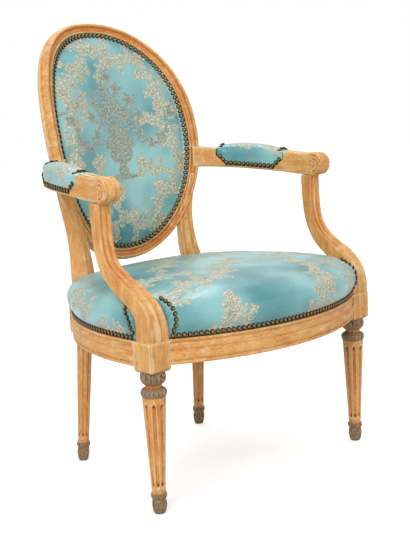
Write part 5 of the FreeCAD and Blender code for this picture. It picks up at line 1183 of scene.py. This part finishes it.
# %% Pattern
class Pattern:
    """A drawing in the cloth's flat coordinates: how far each vertex lies outside its leaves, flowers and lines."""

    def __init__(self, piece):
        self.piece = piece
        values = np.empty(len(piece.data.vertices) * 3)
        piece.data.attributes["cloth"].data.foreach_get("vector", values)
        self.places = values.reshape(-1, 3)[:, :2] / MM
        self.fields = {name: np.full(len(self.places), 9.0) for name in ("motif", "vase", "drawing")}
        self.order = np.argsort(self.places[:, 0])
        self.zoomed(1.0)

    def zoomed(self, scale):
        """Draws what follows larger or smaller."""
        self.places = self.places / scale
        self.sorted = self.places[self.order, 0]

    def near(self, centre, reach):
        low, high = np.searchsorted(self.sorted, (centre[0] - reach - 4, centre[0] + reach + 4))
        index = self.order[low:high]
        return index[np.abs(self.places[index, 1] - centre[1]) < reach + 4]

    def lower(self, field, index, values):
        self.fields[field][index] = np.minimum(self.fields[field][index], values)

    def leaf(self, root, heading, length, width, field="motif"):
        run = np.array([math.cos(heading), math.sin(heading)])
        index = self.near(root + run * length / 2, length * 0.6 + width)
        local = self.places[index] - root
        part, off = local @ run / length, np.abs(local @ np.array([-run[1], run[0]]))
        inside = np.clip(part, 0, 1)
        half = width / 2 * np.sin(math.pi * inside ** 0.8)
        self.lower(field, index, off - half + np.abs(part - inside) * length)
        self.lower("drawing", index, np.where((part > 0.1) & (part < 0.85), off + 0.15, 9.0))

    def stem(self, points, thick, field="motif"):
        for start, end in zip(points[:-1], points[1:]):
            run = end - start
            length = max(np.linalg.norm(run), 0.01)
            index = self.near((start + end) / 2, length / 2 + thick)
            local = self.places[index] - start
            part = np.clip(local @ run / length ** 2, 0, 1)
            self.lower(field, index, np.linalg.norm(local - part[:, None] * run, axis=1) - thick)

    def flower(self, centre, radius, petals, turn, field="motif"):
        index = self.near(centre, radius)
        local = self.places[index] - centre
        away, angle = np.linalg.norm(local, axis=1), np.arctan2(local[:, 1], local[:, 0]) - turn
        lobe = np.abs(np.cos(angle * petals / 2))
        self.lower(field, index, away - radius * (0.7 + 0.3 * lobe ** 0.6))
        seam = np.where((away > radius * 0.35) & (away < radius * 0.8), lobe * away * 2 / petals, 9.0)
        self.lower("drawing", index, np.minimum(seam, np.abs(away - radius * 0.3)) + 0.1)

    def spray(self, root, heading, length, bend, seed, field="motif"):
        """A leafy branch with side twigs, small flowers on the twigs and a bloom at its end."""
        rng = np.random.default_rng(seed)
        count = max(6, round(length / 8.5))
        headings = heading + bend * np.linspace(-0.3, 1, count)
        steps = np.stack([np.cos(headings), np.sin(headings)], axis=1) * length / count
        points = np.asarray(root, float) + np.concatenate([[[0, 0]], np.cumsum(steps, axis=0)])
        self.stem(points, 1.0, field)
        for number in range(1, count):
            side = 1 if number % 2 else -1
            for way, size in ((side, rng.uniform(17, 25)), (-side, rng.uniform(10, 17))):
                turn = headings[number] + way * rng.uniform(0.5, 1.15)
                self.leaf(points[number], turn, size, size * rng.uniform(0.4, 0.52), field)
            if number % 3 == 1:
                turn = headings[number] - side * rng.uniform(0.7, 1.1)
                reach = rng.uniform(22, 36)
                run = np.array([math.cos(turn), math.sin(turn)])
                twig = points[number] + run * reach
                self.stem([points[number], twig], 0.8, field)
                for share in (0.35, 0.7, 1.0):
                    place = points[number] + run * reach * share
                    for way in (-1, 1):
                        size = rng.uniform(11, 17)
                        self.leaf(place, turn + way * rng.uniform(0.5, 1.2), size, size * 0.48, field)
                self.flower(twig, rng.uniform(7, 11), 5, rng.uniform(0, 6), field)
        self.flower(points[-1], rng.uniform(10, 14), 6, rng.uniform(0, 6), field)
        for turn in (-1.3, -0.5, 0.4, 1.2):
            self.leaf(points[-1], headings[-1] + turn, rng.uniform(20, 26), 10, field)

    def keep(self):
        for name, values in self.fields.items():
            add_attribute(self.piece, name, values)
        drawn = np.mean(np.minimum(self.fields["motif"], self.fields["vase"]) < 0)
        print(f"{self.piece.name}: pattern over {drawn:.0%} of {len(self.places)} vertices")


def dressed(piece, material, slot, *nodes):
    """Gives a piece its material and slot, and says which CAD nodes it stands for; the slot argument is not used."""
    piece.data.materials.clear()
    piece.data.materials.append(material)
    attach(piece, "root")
    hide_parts(*nodes)


# %% [markdown]
# The seat is tight and crowned. Its cover comes down over the rails' upper edge, where the nails hold it, swells out
# a little above them and rounds over to a nearly flat top. It is cut back round each arm support and each rear post.

# %% Seat pad
SEAT_FORM = [
    (0.01, -4.2, 0.0), (0.13, -3.7, 0.0), (0.17, -3.0, 0.25), (0.22, -1.6, 0.55), (0.3, -0.4, 0.9), (0.4, 0.0, 1.0),
    (0.5, -0.6, 1.0), (0.59, -2.6, 0.9), (0.68, -7.4, 0.6), (0.76, -17.0, 0.2), (0.83, -32.0, 0.0), (0.9, -58.0, 0.0),
    (0.955, -92.0, 0.0), (0.985, -128.0, 0.0), (1.0, -168.0, 0.0)]
SEAT_RISE, SEAT_SWELL = 91.0, 6.0


def circles_meet(first, radius, second, other, near):
    """Where two circles cross, on the side of a point."""
    first, second, near = (np.asarray(item, float) for item in (first, second, near))
    apart = second - first
    distance = np.linalg.norm(apart)
    along = (radius ** 2 - other ** 2 + distance ** 2) / (2 * distance)
    off = math.sqrt(max(radius ** 2 - along ** 2, 0))
    run = apart / distance
    normal = np.array([-run[1], run[0]])
    crossings = [first + run * along + normal * sign * off for sign in (-1, 1)]
    return min(crossings, key=lambda point: np.linalg.norm(point - near))


# The rear edge of a support as (height, y), so that the cover can be cut back to it.
line_y, line_z, line_half, _, line_run = support_lines(200)
back_line = np.column_stack([line_z - line_run[:, 0] * line_half, line_y + line_run[:, 1] * line_half])
back_line = back_line[np.argsort(back_line[:, 0])]


def seat_ring(out, height, spare=0.5):
    """The seat's outline in plan, moved out and cut back at supports and posts, all the way round."""
    front_r, side_r, rear_r = FRONT_RADIUS + out, SIDE_RADIUS + out, REAR_RADIUS + out
    fore = circles_meet(FRONT_CENTRE, front_r, SIDE_CENTRE, side_r, SIDE_START)
    aft = circles_meet(SIDE_CENTRE, side_r, REAR_CENTRE, rear_r, SIDE_END)
    inner, behind = SUPPORT_OUTER - SUPPORT_WIDTH - spare, np.interp(height, *back_line.T) + spare
    post_in, post_front = POST_X - POST_WIDTH / 2 - spare, POST_Y - POST_DEPTH / 2 - spare

    def on_front(x):
        return np.column_stack([x, FRONT_CENTRE[1] - np.sqrt(front_r ** 2 - np.square(x))])

    def on_side(y):
        return np.column_stack([SIDE_CENTRE[0] + np.sqrt(side_r ** 2 - np.square(y - SIDE_CENTRE[1])), y])

    def on_rear(x):
        return np.column_stack([x, REAR_CENTRE[1] + np.sqrt(rear_r ** 2 - np.square(x))])

    notch = [fore, fore, fore]
    if fore[0] > inner and fore[1] < behind:
        notch = [on_front(np.array([inner]))[0], np.array([inner, behind]), on_side(np.array([behind]))[0]]
    corner = [aft, aft, aft]
    if aft[0] > post_in and aft[1] > post_front:
        corner = [
            on_side(np.array([post_front]))[0], np.array([post_in, post_front]), on_rear(np.array([post_in]))[0]]
    half = [
        on_front(np.linspace(0, notch[0][0], 42)), np.linspace(notch[0], notch[1], 5)[1:],
        np.linspace(notch[1], notch[2], 6)[1:], on_side(np.linspace(notch[2][1], corner[0][1], 54))[1:],
        np.linspace(corner[0], corner[1], 6)[1:], np.linspace(corner[1], corner[2], 5)[1:],
        on_rear(np.linspace(corner[2][0], 0, 25))[1:]]
    half = np.concatenate(half)
    return np.concatenate([half, (half * (-1, 1))[-2:0:-1]])


def seat_rings():
    """Rings of the pad and of its flat cloth, from the middle of the underside round to the middle of the top."""
    table = np.array([(330 + SEAT_RISE * part, out + SEAT_SWELL * swollen) for part, out, swollen in SEAT_FORM])
    run = np.concatenate([[0], np.cumsum(np.linalg.norm(np.diff(table, axis=0), axis=1))])
    height, out = flow(np.linspace(0, run[-1], 40), np.column_stack([run, table])).T
    height = height - np.clip((height - 372) / 49, 0, 1) * 2.0
    reach = np.linalg.norm(np.diff(np.column_stack([height, out]), axis=0), axis=1)
    unrolled = -168 + np.concatenate([np.cumsum(reach[::-1])[::-1], [0]])
    rings, cloths = [], []
    for z, offset, spread in zip(height, out, unrolled):
        ring = seat_ring(offset, z)
        normal = unit(seat_ring(offset + 8, z) - ring + 1e-9)
        rings.append(np.column_stack([ring, np.full(len(ring), z)]))
        cloths.append(ring + normal * (spread - offset))
    for share in np.linspace(0.96, 0.0, 25):
        middle = np.array([0, -20.0])
        ring = middle + (rings[39][:, :2] - middle) * share
        rings.append(np.column_stack([ring, np.full(len(ring), height[-1] + 1.2 * (1 - share ** 2))]))
        cloths.append(ring)
    below = [(331.0, -11.6), (343.5, -11.9), (348.8, -13.5), (348.8, -40.0)]
    under, under_cloth = [], []
    for z, offset in below:
        ring = seat_ring(offset, z)
        under.append(np.column_stack([ring, np.full(len(ring), z)]))
        under_cloth.append(ring)
    for share in (0.5, 0.0):
        ring = np.array([0, -20.0]) + (under[3][:, :2] - (0, -20.0)) * share
        under.append(np.column_stack([ring, np.full(len(ring), 348.8)]))
        under_cloth.append(ring)
    return np.array(under[::-1] + rings), np.array(under_cloth[::-1] + cloths)


def seat_held(places):
    """Vertices under the nails, on the underside and beside the supports and posts."""
    low = places[:, 2] < 350.5
    beside = (np.abs(places[:, 0]) > 258) & (places[:, 1] < np.interp(places[:, 2], *back_line.T) + 8)
    post = (np.abs(places[:, 0]) > 136) & (places[:, 1] > POST_Y - 27)
    return low | beside | post


seat = laid_pad("seat_pad", *seat_rings())
PRESSURE = 4.0
blown_up(seat, seat_held, PRESSURE, 3.0)

# %% [markdown]
# Sprays cross the seat from its front edge to the back. Each has a root in the flat cloth in millimetres, a heading,
# a length, a bend and the seed of its random leaves.

# %% Pattern of the seat
pattern = Pattern(seat)
SEAT_SPRAYS = [
    ((-215, -385), 1.25, 95, -0.8, 3), ((-135, -400), 1.5, 120, 0.7, 4), ((10, -395), 0.75, 150, 0.6, 5),
    ((70, -400), 1.0, 150, 0.9, 6), ((150, -375), 0.4, 110, 1.0, 7), ((190, -330), 1.2, 130, 0.8, 8),
    ((95, -270), 0.8, 120, 1.2, 9), ((-260, -240), 0.7, 150, -0.8, 10), ((-170, -190), 0.1, 150, 0.7, 11),
    ((-250, -120), 0.3, 140, -0.7, 12), ((-60, -110), 0.0, 130, 0.9, 13), ((90, -130), 0.4, 140, -0.8, 14),
    ((235, -235), 1.0, 120, 1.0, 15), ((-150, -30), 0.2, 150, 0.8, 16), ((10, 10), 0.1, 150, -0.7, 17),
    ((190, -60), 1.2, 120, 0.9, 18), ((-200, 60), 0.2, 120, 0.8, 19), ((-50, 95), 0.0, 120, 0.6, 20),
    ((70, 110), 0.1, 110, -0.7, 21), ((-330, -60), 1.2, 130, -0.6, 22), ((-355, -165), 1.9, 90, -0.7, 23),
    ((-290, 60), 1.0, 110, 0.9, 24), ((330, -140), 1.5, 140, 0.7, 25), ((300, 20), 1.8, 120, -0.7, 26),
    ((-30, 200), 0.1, 120, 0.5, 27), ((110, 205), 0.0, 90, 0.6, 28), ((-150, 200), 0.1, 80, 0.5, 29)]
for row in SEAT_SPRAYS:
    pattern.spray(*row)
pattern.keep()
dressed(seat, SATIN, "satin", "seat_cover", "seat_stuffing")

# %% [markdown]
# The back pad fills the oval. It is flat under its nails, rises in a quick roll and then swells gently to the middle.
# Rings of the oval, scaled down to a point, give it even faces, and each ring is laid on the curved surface.

# %% Back pad
RING_SHARES = np.concatenate([[1.0, 0.985, 0.97, 0.955, 0.94, 0.92, 0.9], np.linspace(0.876, 0.0, 37)])
turns = np.arange(0, 360, 1.6)


def back_rings():
    edge = oval(turns, -0.6)
    reach = np.linalg.norm(edge, axis=1)
    rings, cloths = [], []
    for share in (0.0, 0.5, 0.96):
        rings.append(on_back(edge * share, np.full(len(edge), 1.3)))
        cloths.append(edge * share)
    rings.append(on_back(edge, np.full(len(edge), 1.3)))
    cloths.append(edge + unit(edge) * 3)
    for share in RING_SHARES:
        inwards = np.maximum((1 - share) * reach - 11.0, 0)
        roll = 1 - (1 - np.minimum(inwards / 30, 1)) ** 2.3
        swell = 1 - (1 - inwards / (reach - 11.0)) ** 2
        rise = 0.9 + 27.0 * (0.6 * roll + 0.4 * swell)
        rings.append(on_back(edge * share, -rise))
        cloths.append(edge * share)
    return np.array(rings), np.array(cloths)


def back_held(places):
    away = places - BACK_ORIGIN
    v, x = away @ BACK_UP, away[:, 0]
    angle = np.degrees(np.arctan2(v, x))
    flat_x = BACK_RADIUS * np.sin(np.arctan2(x, BACK_RADIUS + away @ BACK_BEHIND))
    return np.hypot(flat_x, v) > np.linalg.norm(oval(angle), axis=1) - 15


back = laid_pad("back_pad", *back_rings())
blown_up(back, back_held, PRESSURE, 3.0)

# %% [markdown]
# On the back, sprays follow the rim, and a plain footed vase with flowers and two garlands stands in the middle.

# %% Pattern of the back
pattern = Pattern(back)
for number, angle in enumerate(range(5, 365, 24)):
    root = oval(angle) * (0.8 if number % 2 else 0.88)
    run = oval(angle + 24) * (0.88 if number % 2 else 0.74) - root
    pattern.spray(root, math.atan2(run[1], run[0]) - 0.1, 84, 0.45, 31 + number)
for number, (root, heading) in enumerate([
        ((-112, 40), 0.9), ((118, 10), 2.2), ((-100, -95), 0.7), ((95, -100), 2.0), ((20, 175), 3.6),
        ((-60, -150), 0.4)]):
    pattern.spray(root, heading, 58, 0.9, 71 + number)


VASE_ZOOM = 1.4


def vase_and_garlands(pattern):
    """A plain footed vase with flowers, and a swag on each side, all in the grey thread."""
    pattern.zoomed(VASE_ZOOM)
    for half, height, level in ((30, 5, -62), (12, 9, -52), (8, 8, -42), (26, 16, -26), (33, 15, -8), (22, 8, 10)):
        index = pattern.near(np.array([0, level]), max(half, height) + 6)
        local = pattern.places[index] - (0, level)
        away = np.hypot(local[:, 0] / half, local[:, 1] / height)
        pattern.lower("vase", index, (away - 1) * min(half, height))
        pattern.lower("drawing", index, np.abs(away - 0.86) * min(half, height) + 0.2)
    for side in (-1, 1):
        turn = np.linspace(-0.6, 3.6, 14)
        handle = np.stack([side * (30 + 13 * np.cos(turn - 1.2)), 16 * np.sin(turn - 0.9)], axis=1)
        pattern.stem(handle, 1.6, "vase")
        swag = np.linspace(0, 1, 16)
        hang = np.stack([side * (38 + 72 * swag), 22 - 46 * np.sin(math.pi * swag) ** 0.9 + 20 * swag], axis=1)
        pattern.stem(hang, 1.2, "vase")
        for number, place in enumerate(hang):
            pattern.leaf(place, number * 0.9, 13, 6, "vase")
            pattern.leaf(place, number * 0.9 + 2.6, 12, 6, "vase")
            if number % 4 == 2:
                pattern.flower(place, 7.5, 5, number, "vase")
    for number, (x, v, radius) in enumerate([
            (0, 48, 14), (-22, 36, 11), (22, 36, 11), (-38, 58, 9), (38, 58, 9), (-14, 74, 10), (15, 76, 9),
            (0, 98, 9), (-52, 34, 7), (52, 34, 7)]):
        pattern.stem(np.array([(0, 16), (x * 0.5, v * 0.6), (x, v)], float), 1.0, "vase")
        pattern.flower(np.array([x, v], float), radius, 6, number * 0.7, "vase")
        for turn in (0.4, 1.6, 2.8, 4.4, 5.4):
            pattern.leaf(np.array([x, v], float), turn + number, radius * 1.9, radius * 0.75, "vase")
    pattern.zoomed(1 / VASE_ZOOM)


vase_and_garlands(pattern)
pattern.keep()
dressed(back, SATIN, "satin", "back_cover", "back_stuffing", "back_hessian", "back_webbing")

# %% [markdown]
# Arm pads are small bolsters: straight sides down to the nails, a round top, and ends that ramp down to the wood.

# %% Arm pads
arm_run_length = float(np.linalg.norm(np.diff(arm_plan, axis=0), axis=1).sum())


def arm_pad_rings():
    start, end = PAD_START + 0.003, PAD_END - 0.003
    parts = np.concatenate([[start, start, start + 0.004], np.linspace(start + 0.012, end - 0.012, 58),
                            [end - 0.004, end, end]])
    middle, _, outwards, underside = arm_at(parts)
    top = arm_top(parts)
    half = arm_width(parts) / 2 - 1.1
    fullness = 1 - np.abs((parts - PAD_START) / (PAD_END - PAD_START) * 2 - 1) ** 2.5
    crown = ARM_WOOD + PAD_RISE * (0.72 + 0.28 * np.clip(fullness, 0, 1))
    crown = np.convolve(np.pad(crown, 2, mode="edge"), np.ones(5) / 5, mode="valid")
    low = underside + top - NAIL_SHELF + 0.4
    peak = np.maximum(underside + crown, low + 14.5)
    near_end = np.clip(np.minimum(parts - start, end - parts) / 0.03, 0, 1)
    peak = peak - 0.6 * (1 - near_end) ** 2
    half = half - 1.0 * (1 - near_end) ** 2
    along = arm_run_length * parts
    rings, cloths = [], []
    for index in range(len(parts)):
        base = max(min(underside[index] + top[index], peak[index] - 1), low[index])
        shoulder = max(base + (peak[index] - base) * 0.3, low[index] + 0.5)
        sides = np.linspace(low[index], shoulder, 5)
        turn = np.linspace(0, math.pi, 19)[1:-1]
        wide = half[index] + 1.0 * np.sin(np.linspace(0, 1, 5) * math.pi / 2)
        up = np.concatenate([
            sides, shoulder + (peak[index] - shoulder) * np.sin(turn) ** 0.85, sides[::-1],
            np.full(5, low[index])])
        off = np.concatenate([
            wide, np.sign(np.cos(turn)) * np.abs(np.cos(turn)) ** 0.8 * (half[index] + 1.0), -wide[::-1],
            np.linspace(-half[index], half[index], 7)[1:-1]])
        if index in (0, len(parts) - 1):
            off, up = off * 0.0, up * 0.0 + (low[index] + peak[index]) / 2
        ring = middle[index] + np.outer(off, outwards[index]) + np.outer(up, Z)
        steps = np.concatenate([[0], np.cumsum(np.linalg.norm(np.diff(np.column_stack([off, up]), axis=0), axis=1))])
        rings.append(ring)
        cloths.append(np.column_stack([np.full(len(steps), along[index]), steps - 60]))
    return np.array(rings), np.array(cloths)


def arm_held(places):
    """Vertices low on the sides, where the nails are, and the underside."""
    height = places[:, 2]
    nearest = np.argmin(np.linalg.norm(places[:, None, :2] - arm_plan[None, ::8, :], axis=2), axis=1)
    part = arm_run[::8][nearest]
    low = arm_at(part)[3] + arm_top(part) - NAIL_SHELF
    ends = (part < PAD_START + 0.02) | (part > PAD_END - 0.02)
    return (height < low + 11) | ends


right_pad = laid_pad("right_arm_pad", *arm_pad_rings())
blown_up(right_pad, arm_held, PRESSURE, 1.5)
left_pad = twin(right_pad, "left_arm_pad")
for piece, side in ((right_pad, "right"), (left_pad, "left")):
    pattern = Pattern(piece)
    for row in [
            ((85, -30), 0.5, 60, 0.8, 51), ((120, 25), -0.5, 60, -0.9, 52), ((165, -35), 0.6, 60, 1.0, 53),
            ((200, 20), -0.3, 55, 0.8, 54), ((235, -30), 0.4, 45, 0.8, 55)]:
        pattern.spray(*row)
    pattern.keep()
    dressed(piece, SATIN, "satin", f"{side}_arm_cover", f"{side}_arm_stuffing")

# %% [markdown]
# The outside of the back is one sheet of the same satin, stretched over the frame from behind and nailed round its
# edge. It is thin, so it gets its two faces from Solidify.


# %% Outer back cover
def outer_rings():
    edge = oval(turns, 5.3)
    rings, cloths = [], []
    for share in np.concatenate([[1.0, 0.98, 0.95], np.linspace(0.92, 0.0, 34)]):
        rings.append(on_back(edge * share, np.full(len(edge), FRAME_DEPTH + 0.5)))
        cloths.append(edge * share + (0, 37.0))
    return np.array(rings), np.array(cloths)


outer = laid_pad("outer_back_cloth", *outer_rings(), capped=False)
facing = sum(face.normal.y * face.area for face in outer.data.polygons)
if facing < 0:
    outer.data.flip_normals()
smooth = outer.modifiers.new("smooth", "SUBSURF")
smooth.levels = smooth.render_levels = 1
bpy.ops.object.modifier_apply(modifier=smooth.name)
thickness = outer.modifiers.new("thickness", "SOLIDIFY")
thickness.thickness = 1.2 * MM
thickness.offset = 1.0
bpy.ops.object.modifier_apply(modifier=thickness.name)
bpy.ops.object.shade_smooth_by_angle(angle=0.7)
pattern = Pattern(outer)
for row in [
        ((-60, -190), 1.9, 140, -0.9, 61), ((60, -190), 1.2, 140, 0.9, 62), ((-20, 20), 2.2, 140, -0.8, 63),
        ((20, 20), 0.9, 140, 0.8, 64), ((0, -90), 1.6, 120, 0.3, 65), ((-130, 60), 1.6, 130, -0.6, 66),
        ((130, 60), 1.5, 130, 0.6, 67), ((-30, 250), -1.9, 100, 0.8, 68), ((30, 250), -1.2, 100, -0.8, 69)]:
    pattern.spray(*row)
pattern.keep()
dressed(outer, SATIN, "satin", "outer_back_cover")

# %% [markdown]
# Under the seat lie hessian and, below it, jute straps that cross. Both are modelled directly: a solver would only
# add noise to cloth that is drawn tight. The straps from front to back lie on top of those across.

# %% Hessian
HESSIAN_UNDERSIDE, HESSIAN_TOP, HESSIAN_MARGIN = 347.3, 348.3, 17
SEAT_MIDDLE = (0, -20)
hessian_edge = seat_ring(-HESSIAN_MARGIN, 347.0, 2.5) - SEAT_MIDDLE
hessian_rings, hessian_cloth = [], []
for height, shares in ((HESSIAN_UNDERSIDE, (0.0, 0.5, 1.0)), (HESSIAN_TOP, (1.0, 0.5, 0.0))):
    for share in shares:
        ring = hessian_edge * share + SEAT_MIDDLE
        hessian_rings.append(np.column_stack([ring, np.full(len(ring), height)]))
        hessian_cloth.append(ring)
hessian = laid_pad("seat_hessian_cloth", np.array(hessian_rings), np.array(hessian_cloth))
dressed(hessian, HESSIAN, "hessian", "seat_hessian")

# %% [markdown]
# The straps are jute with a dark line along each edge. Four lie across and seven from front to back, each as long as
# the rails allow at its place.

# %% Straps
STRAP_WIDTH, STRAP_PITCH, STRAPS_ACROSS, STRAPS_ALONG = 48.0, 74.4, 4, 7
ACROSS_UNDERSIDE, ALONG_UNDERSIDE = 344.3, 345.75


def inside_rails(x, y):
    """Whether a strap may lie over a place: inside the rails and clear of legs and posts."""
    x = abs(x)
    front_ok = math.hypot(x - FRONT_CENTRE[0], y - FRONT_CENTRE[1]) < FRONT_RADIUS - 13
    side_ok = math.hypot(x - SIDE_CENTRE[0], y - SIDE_CENTRE[1]) < SIDE_RADIUS - 13
    rear_ok = math.hypot(x - REAR_CENTRE[0], y - REAR_CENTRE[1]) < REAR_RADIUS - 13
    leg = x > 264 and y < np.interp(347, *back_line.T) + 3
    post = x > 141 and y > POST_Y - 22
    return front_ok and side_ok and rear_ok and not leg and not post


def strap(name, place, lengthways):
    """A strap across the seat, or from front to back over it, up to where the rails end."""
    reach = np.arange(-330, 331, 3.0)
    ok = []
    for run in reach:
        edges = [place - STRAP_WIDTH / 2, place + STRAP_WIDTH / 2]
        ok.append(all(inside_rails(*((edge, run) if lengthways else (run, edge))) for edge in edges))
    kept = reach[np.array(ok)]
    rows = []
    for run in np.arange(kept[0], kept[-1] + 0.1, 6.0):
        wide = np.array([-24, -23, -8, 8, 23, 24, 24, 23, 8, -8, -23, -24]) + place
        up = np.array([0.35, 0, 0, 0, 0, 0.35, 0.75, 1.1, 1.1, 1.1, 1.1, 0.75])
        up = up + (ALONG_UNDERSIDE if lengthways else ACROSS_UNDERSIDE)
        along = np.full(12, run)
        rows.append(np.column_stack([wide, along, up] if lengthways else [along, wide, up]))
    piece = lofted(name, rows)
    places = read_places(piece)
    flat = places[:, [0, 1]] if lengthways else places[:, [1, 0]]
    add_cloth(piece, flat)
    edge = np.abs(flat[:, 0] - place)
    add_attribute(piece, "selvedge", (edge > 20).astype(float))
    return piece, kept[-1] - kept[0]


STRAPS_MIDDLE = -44.1
straps = []
for number in range(STRAPS_ACROSS):
    straps.append(strap("strap", STRAPS_MIDDLE + (number - (STRAPS_ACROSS - 1) / 2) * STRAP_PITCH, False))
for number in range(STRAPS_ALONG):
    straps.append(strap("strap", (number - (STRAPS_ALONG - 1) / 2) * STRAP_PITCH, True))
webbing = joined("seat_webbing_straps", [piece for piece, _ in straps])
strap_length = sum(length for _, length in straps) * MM
dressed(webbing, JUTE, "webbing", "seat_webbing")
print(f"straps: {strap_length:.2f} m of webbing")

# %% [markdown]
# The nails are domed heads set edge to edge. One head is modelled from half a sphere with few faces; it is then
# copied to every place of a CAD nail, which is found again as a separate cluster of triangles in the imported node.


# %% Nails
def nail_head():
    bpy.ops.object.select_all(action="DESELECT")
    bpy.ops.mesh.primitive_uv_sphere_add(segments=10, ring_count=8, radius=1)
    head = bpy.context.object
    bpy.ops.object.mode_set(mode="EDIT")
    bpy.ops.mesh.select_all(action="SELECT")
    bpy.ops.mesh.bisect(plane_co=(0, 0, 0.02), plane_no=(0, 0, -1), use_fill=True, clear_outer=True)
    bpy.ops.object.mode_set(mode="OBJECT")
    places = read_places(head) * MM
    faces = [list(face.vertices) for face in head.data.polygons]
    bpy.data.objects.remove(head)
    return places, faces


def clusters(node):
    """Place and outward direction of every separate head in a CAD node; the rim is wide and the top narrow."""
    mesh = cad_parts[node].data
    places = np.empty(len(mesh.vertices) * 3)
    mesh.vertices.foreach_get("co", places)
    mesh.calc_loop_triangles()
    corners = np.empty(len(mesh.loop_triangles) * 3, int)
    mesh.loop_triangles.foreach_get("vertices", corners)
    _, first, same = np.unique(
        np.round(places.reshape(-1, 3) / MM, 3), axis=0, return_index=True, return_inverse=True)
    points = places.reshape(-1, 3)[first] / MM
    triangles = same.ravel()[corners].reshape(-1, 3)
    label = np.arange(len(points))
    while True:
        lowest = label[triangles].min(axis=1)
        fresh = label.copy()
        for corner in range(3):
            np.minimum.at(fresh, triangles[:, corner], lowest)
        fresh = fresh[fresh]
        if np.array_equal(fresh, label):
            break
        label = fresh
    found = []
    for value in np.unique(label):
        group = points[label == value]
        middle = group.mean(axis=0)
        axis = np.linalg.svd(group - middle, full_matrices=False)[2][2]
        level = (group - middle) @ axis
        away = np.linalg.norm(group - middle - np.outer(level, axis), axis=1)
        spread = np.ptp(level) * 0.2
        if away[level > level.max() - spread].mean() > away[level < level.min() + spread].mean():
            axis, level = -axis, -level
        found.append((middle + axis * level.min(), axis))
    return found


HEAD_PLACES, HEAD_FACES = nail_head()
NAIL_RADIUS, NAIL_HEIGHT, NAIL_TURN = 5.15, 3.1, 1.7
total_nails = 0
for node in ("seat_nails", "support_nails", "back_nails", "outer_back_nails", "left_arm_nails", "right_arm_nails"):
    heads = clusters(node)
    points, faces, crowns = [], [], []
    for number, (place, axis) in enumerate(heads):
        first = unit(np.cross(axis, Z if abs(axis[2]) < 0.9 else X))
        second = np.cross(axis, first)
        turn = number * NAIL_TURN
        one = first * math.cos(turn) + second * math.sin(turn)
        two = second * math.cos(turn) - first * math.sin(turn)
        local = HEAD_PLACES * (NAIL_RADIUS, NAIL_RADIUS, NAIL_HEIGHT)
        faces += [[vertex + len(points) * len(local) for vertex in face] for face in HEAD_FACES]
        points.append(place + local[:, :1] * one + local[:, 1:2] * two + local[:, 2:] * axis)
        crowns.append(HEAD_PLACES[:, 2])
    mesh = bpy.data.meshes.new(node + "_heads")
    mesh.from_pydata(np.concatenate(points) * MM, [], faces)
    piece = bpy.data.objects.new(node + "_heads", mesh)
    scene.collection.objects.link(piece)
    add_attribute(piece, "crown", np.concatenate(crowns))
    only(piece)
    bpy.ops.object.shade_smooth_by_angle(angle=1.0)
    dressed(piece, BRONZE, "nail_bronze", node)
    total_nails += len(heads)
print("nail heads:", total_nails)

# %% [markdown]
# Braces, pegs, screws and tacks are right as the CAD has them, so they stay, with finishes of their own.


# %% Kept nodes
def plain_wood(name, light, deep):
    """Wood for a CAD node, from its object coordinates alone."""
    finish = Finish(name, Roughness=0.6, Specular_IOR_Level=0.3)
    place = finish.node("ShaderNodeTexCoord", output="Object")
    fibre = finish.noise(finish.stretched(place, (60, 420, 420)), 1.0, 3.0, 0.65)
    broad = finish.noise(finish.stretched(place, (8, 20, 20)), 1.0, 3.0, 0.6)
    colour = finish.mixed(tone(light), tone(deep), (fibre * 0.7 + broad * 0.5).step(0.35, 0.85))
    finish.surface(Base_Color=colour, Roughness=0.5 + fibre * 0.2, Normal=finish.bump(fibre, 0.0005, 0.5))
    return finish.material


BRACE_WOOD = plain_wood("sawn_beech", "D6B084", "B98A55")
PEG_WOOD = plain_wood("peg_oak", "C39A62", "9A7142")
for node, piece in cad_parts.items():
    kept = BRACE_WOOD if "brace_" in node and "screws" not in node else None
    kept = PEG_WOOD if node == "frame_pegs" else STEEL if node in ("brace_screws", "webbing_tacks") else kept
    if kept:
        piece.data.materials.clear()
        piece.data.materials.append(kept)
        print("kept", node)
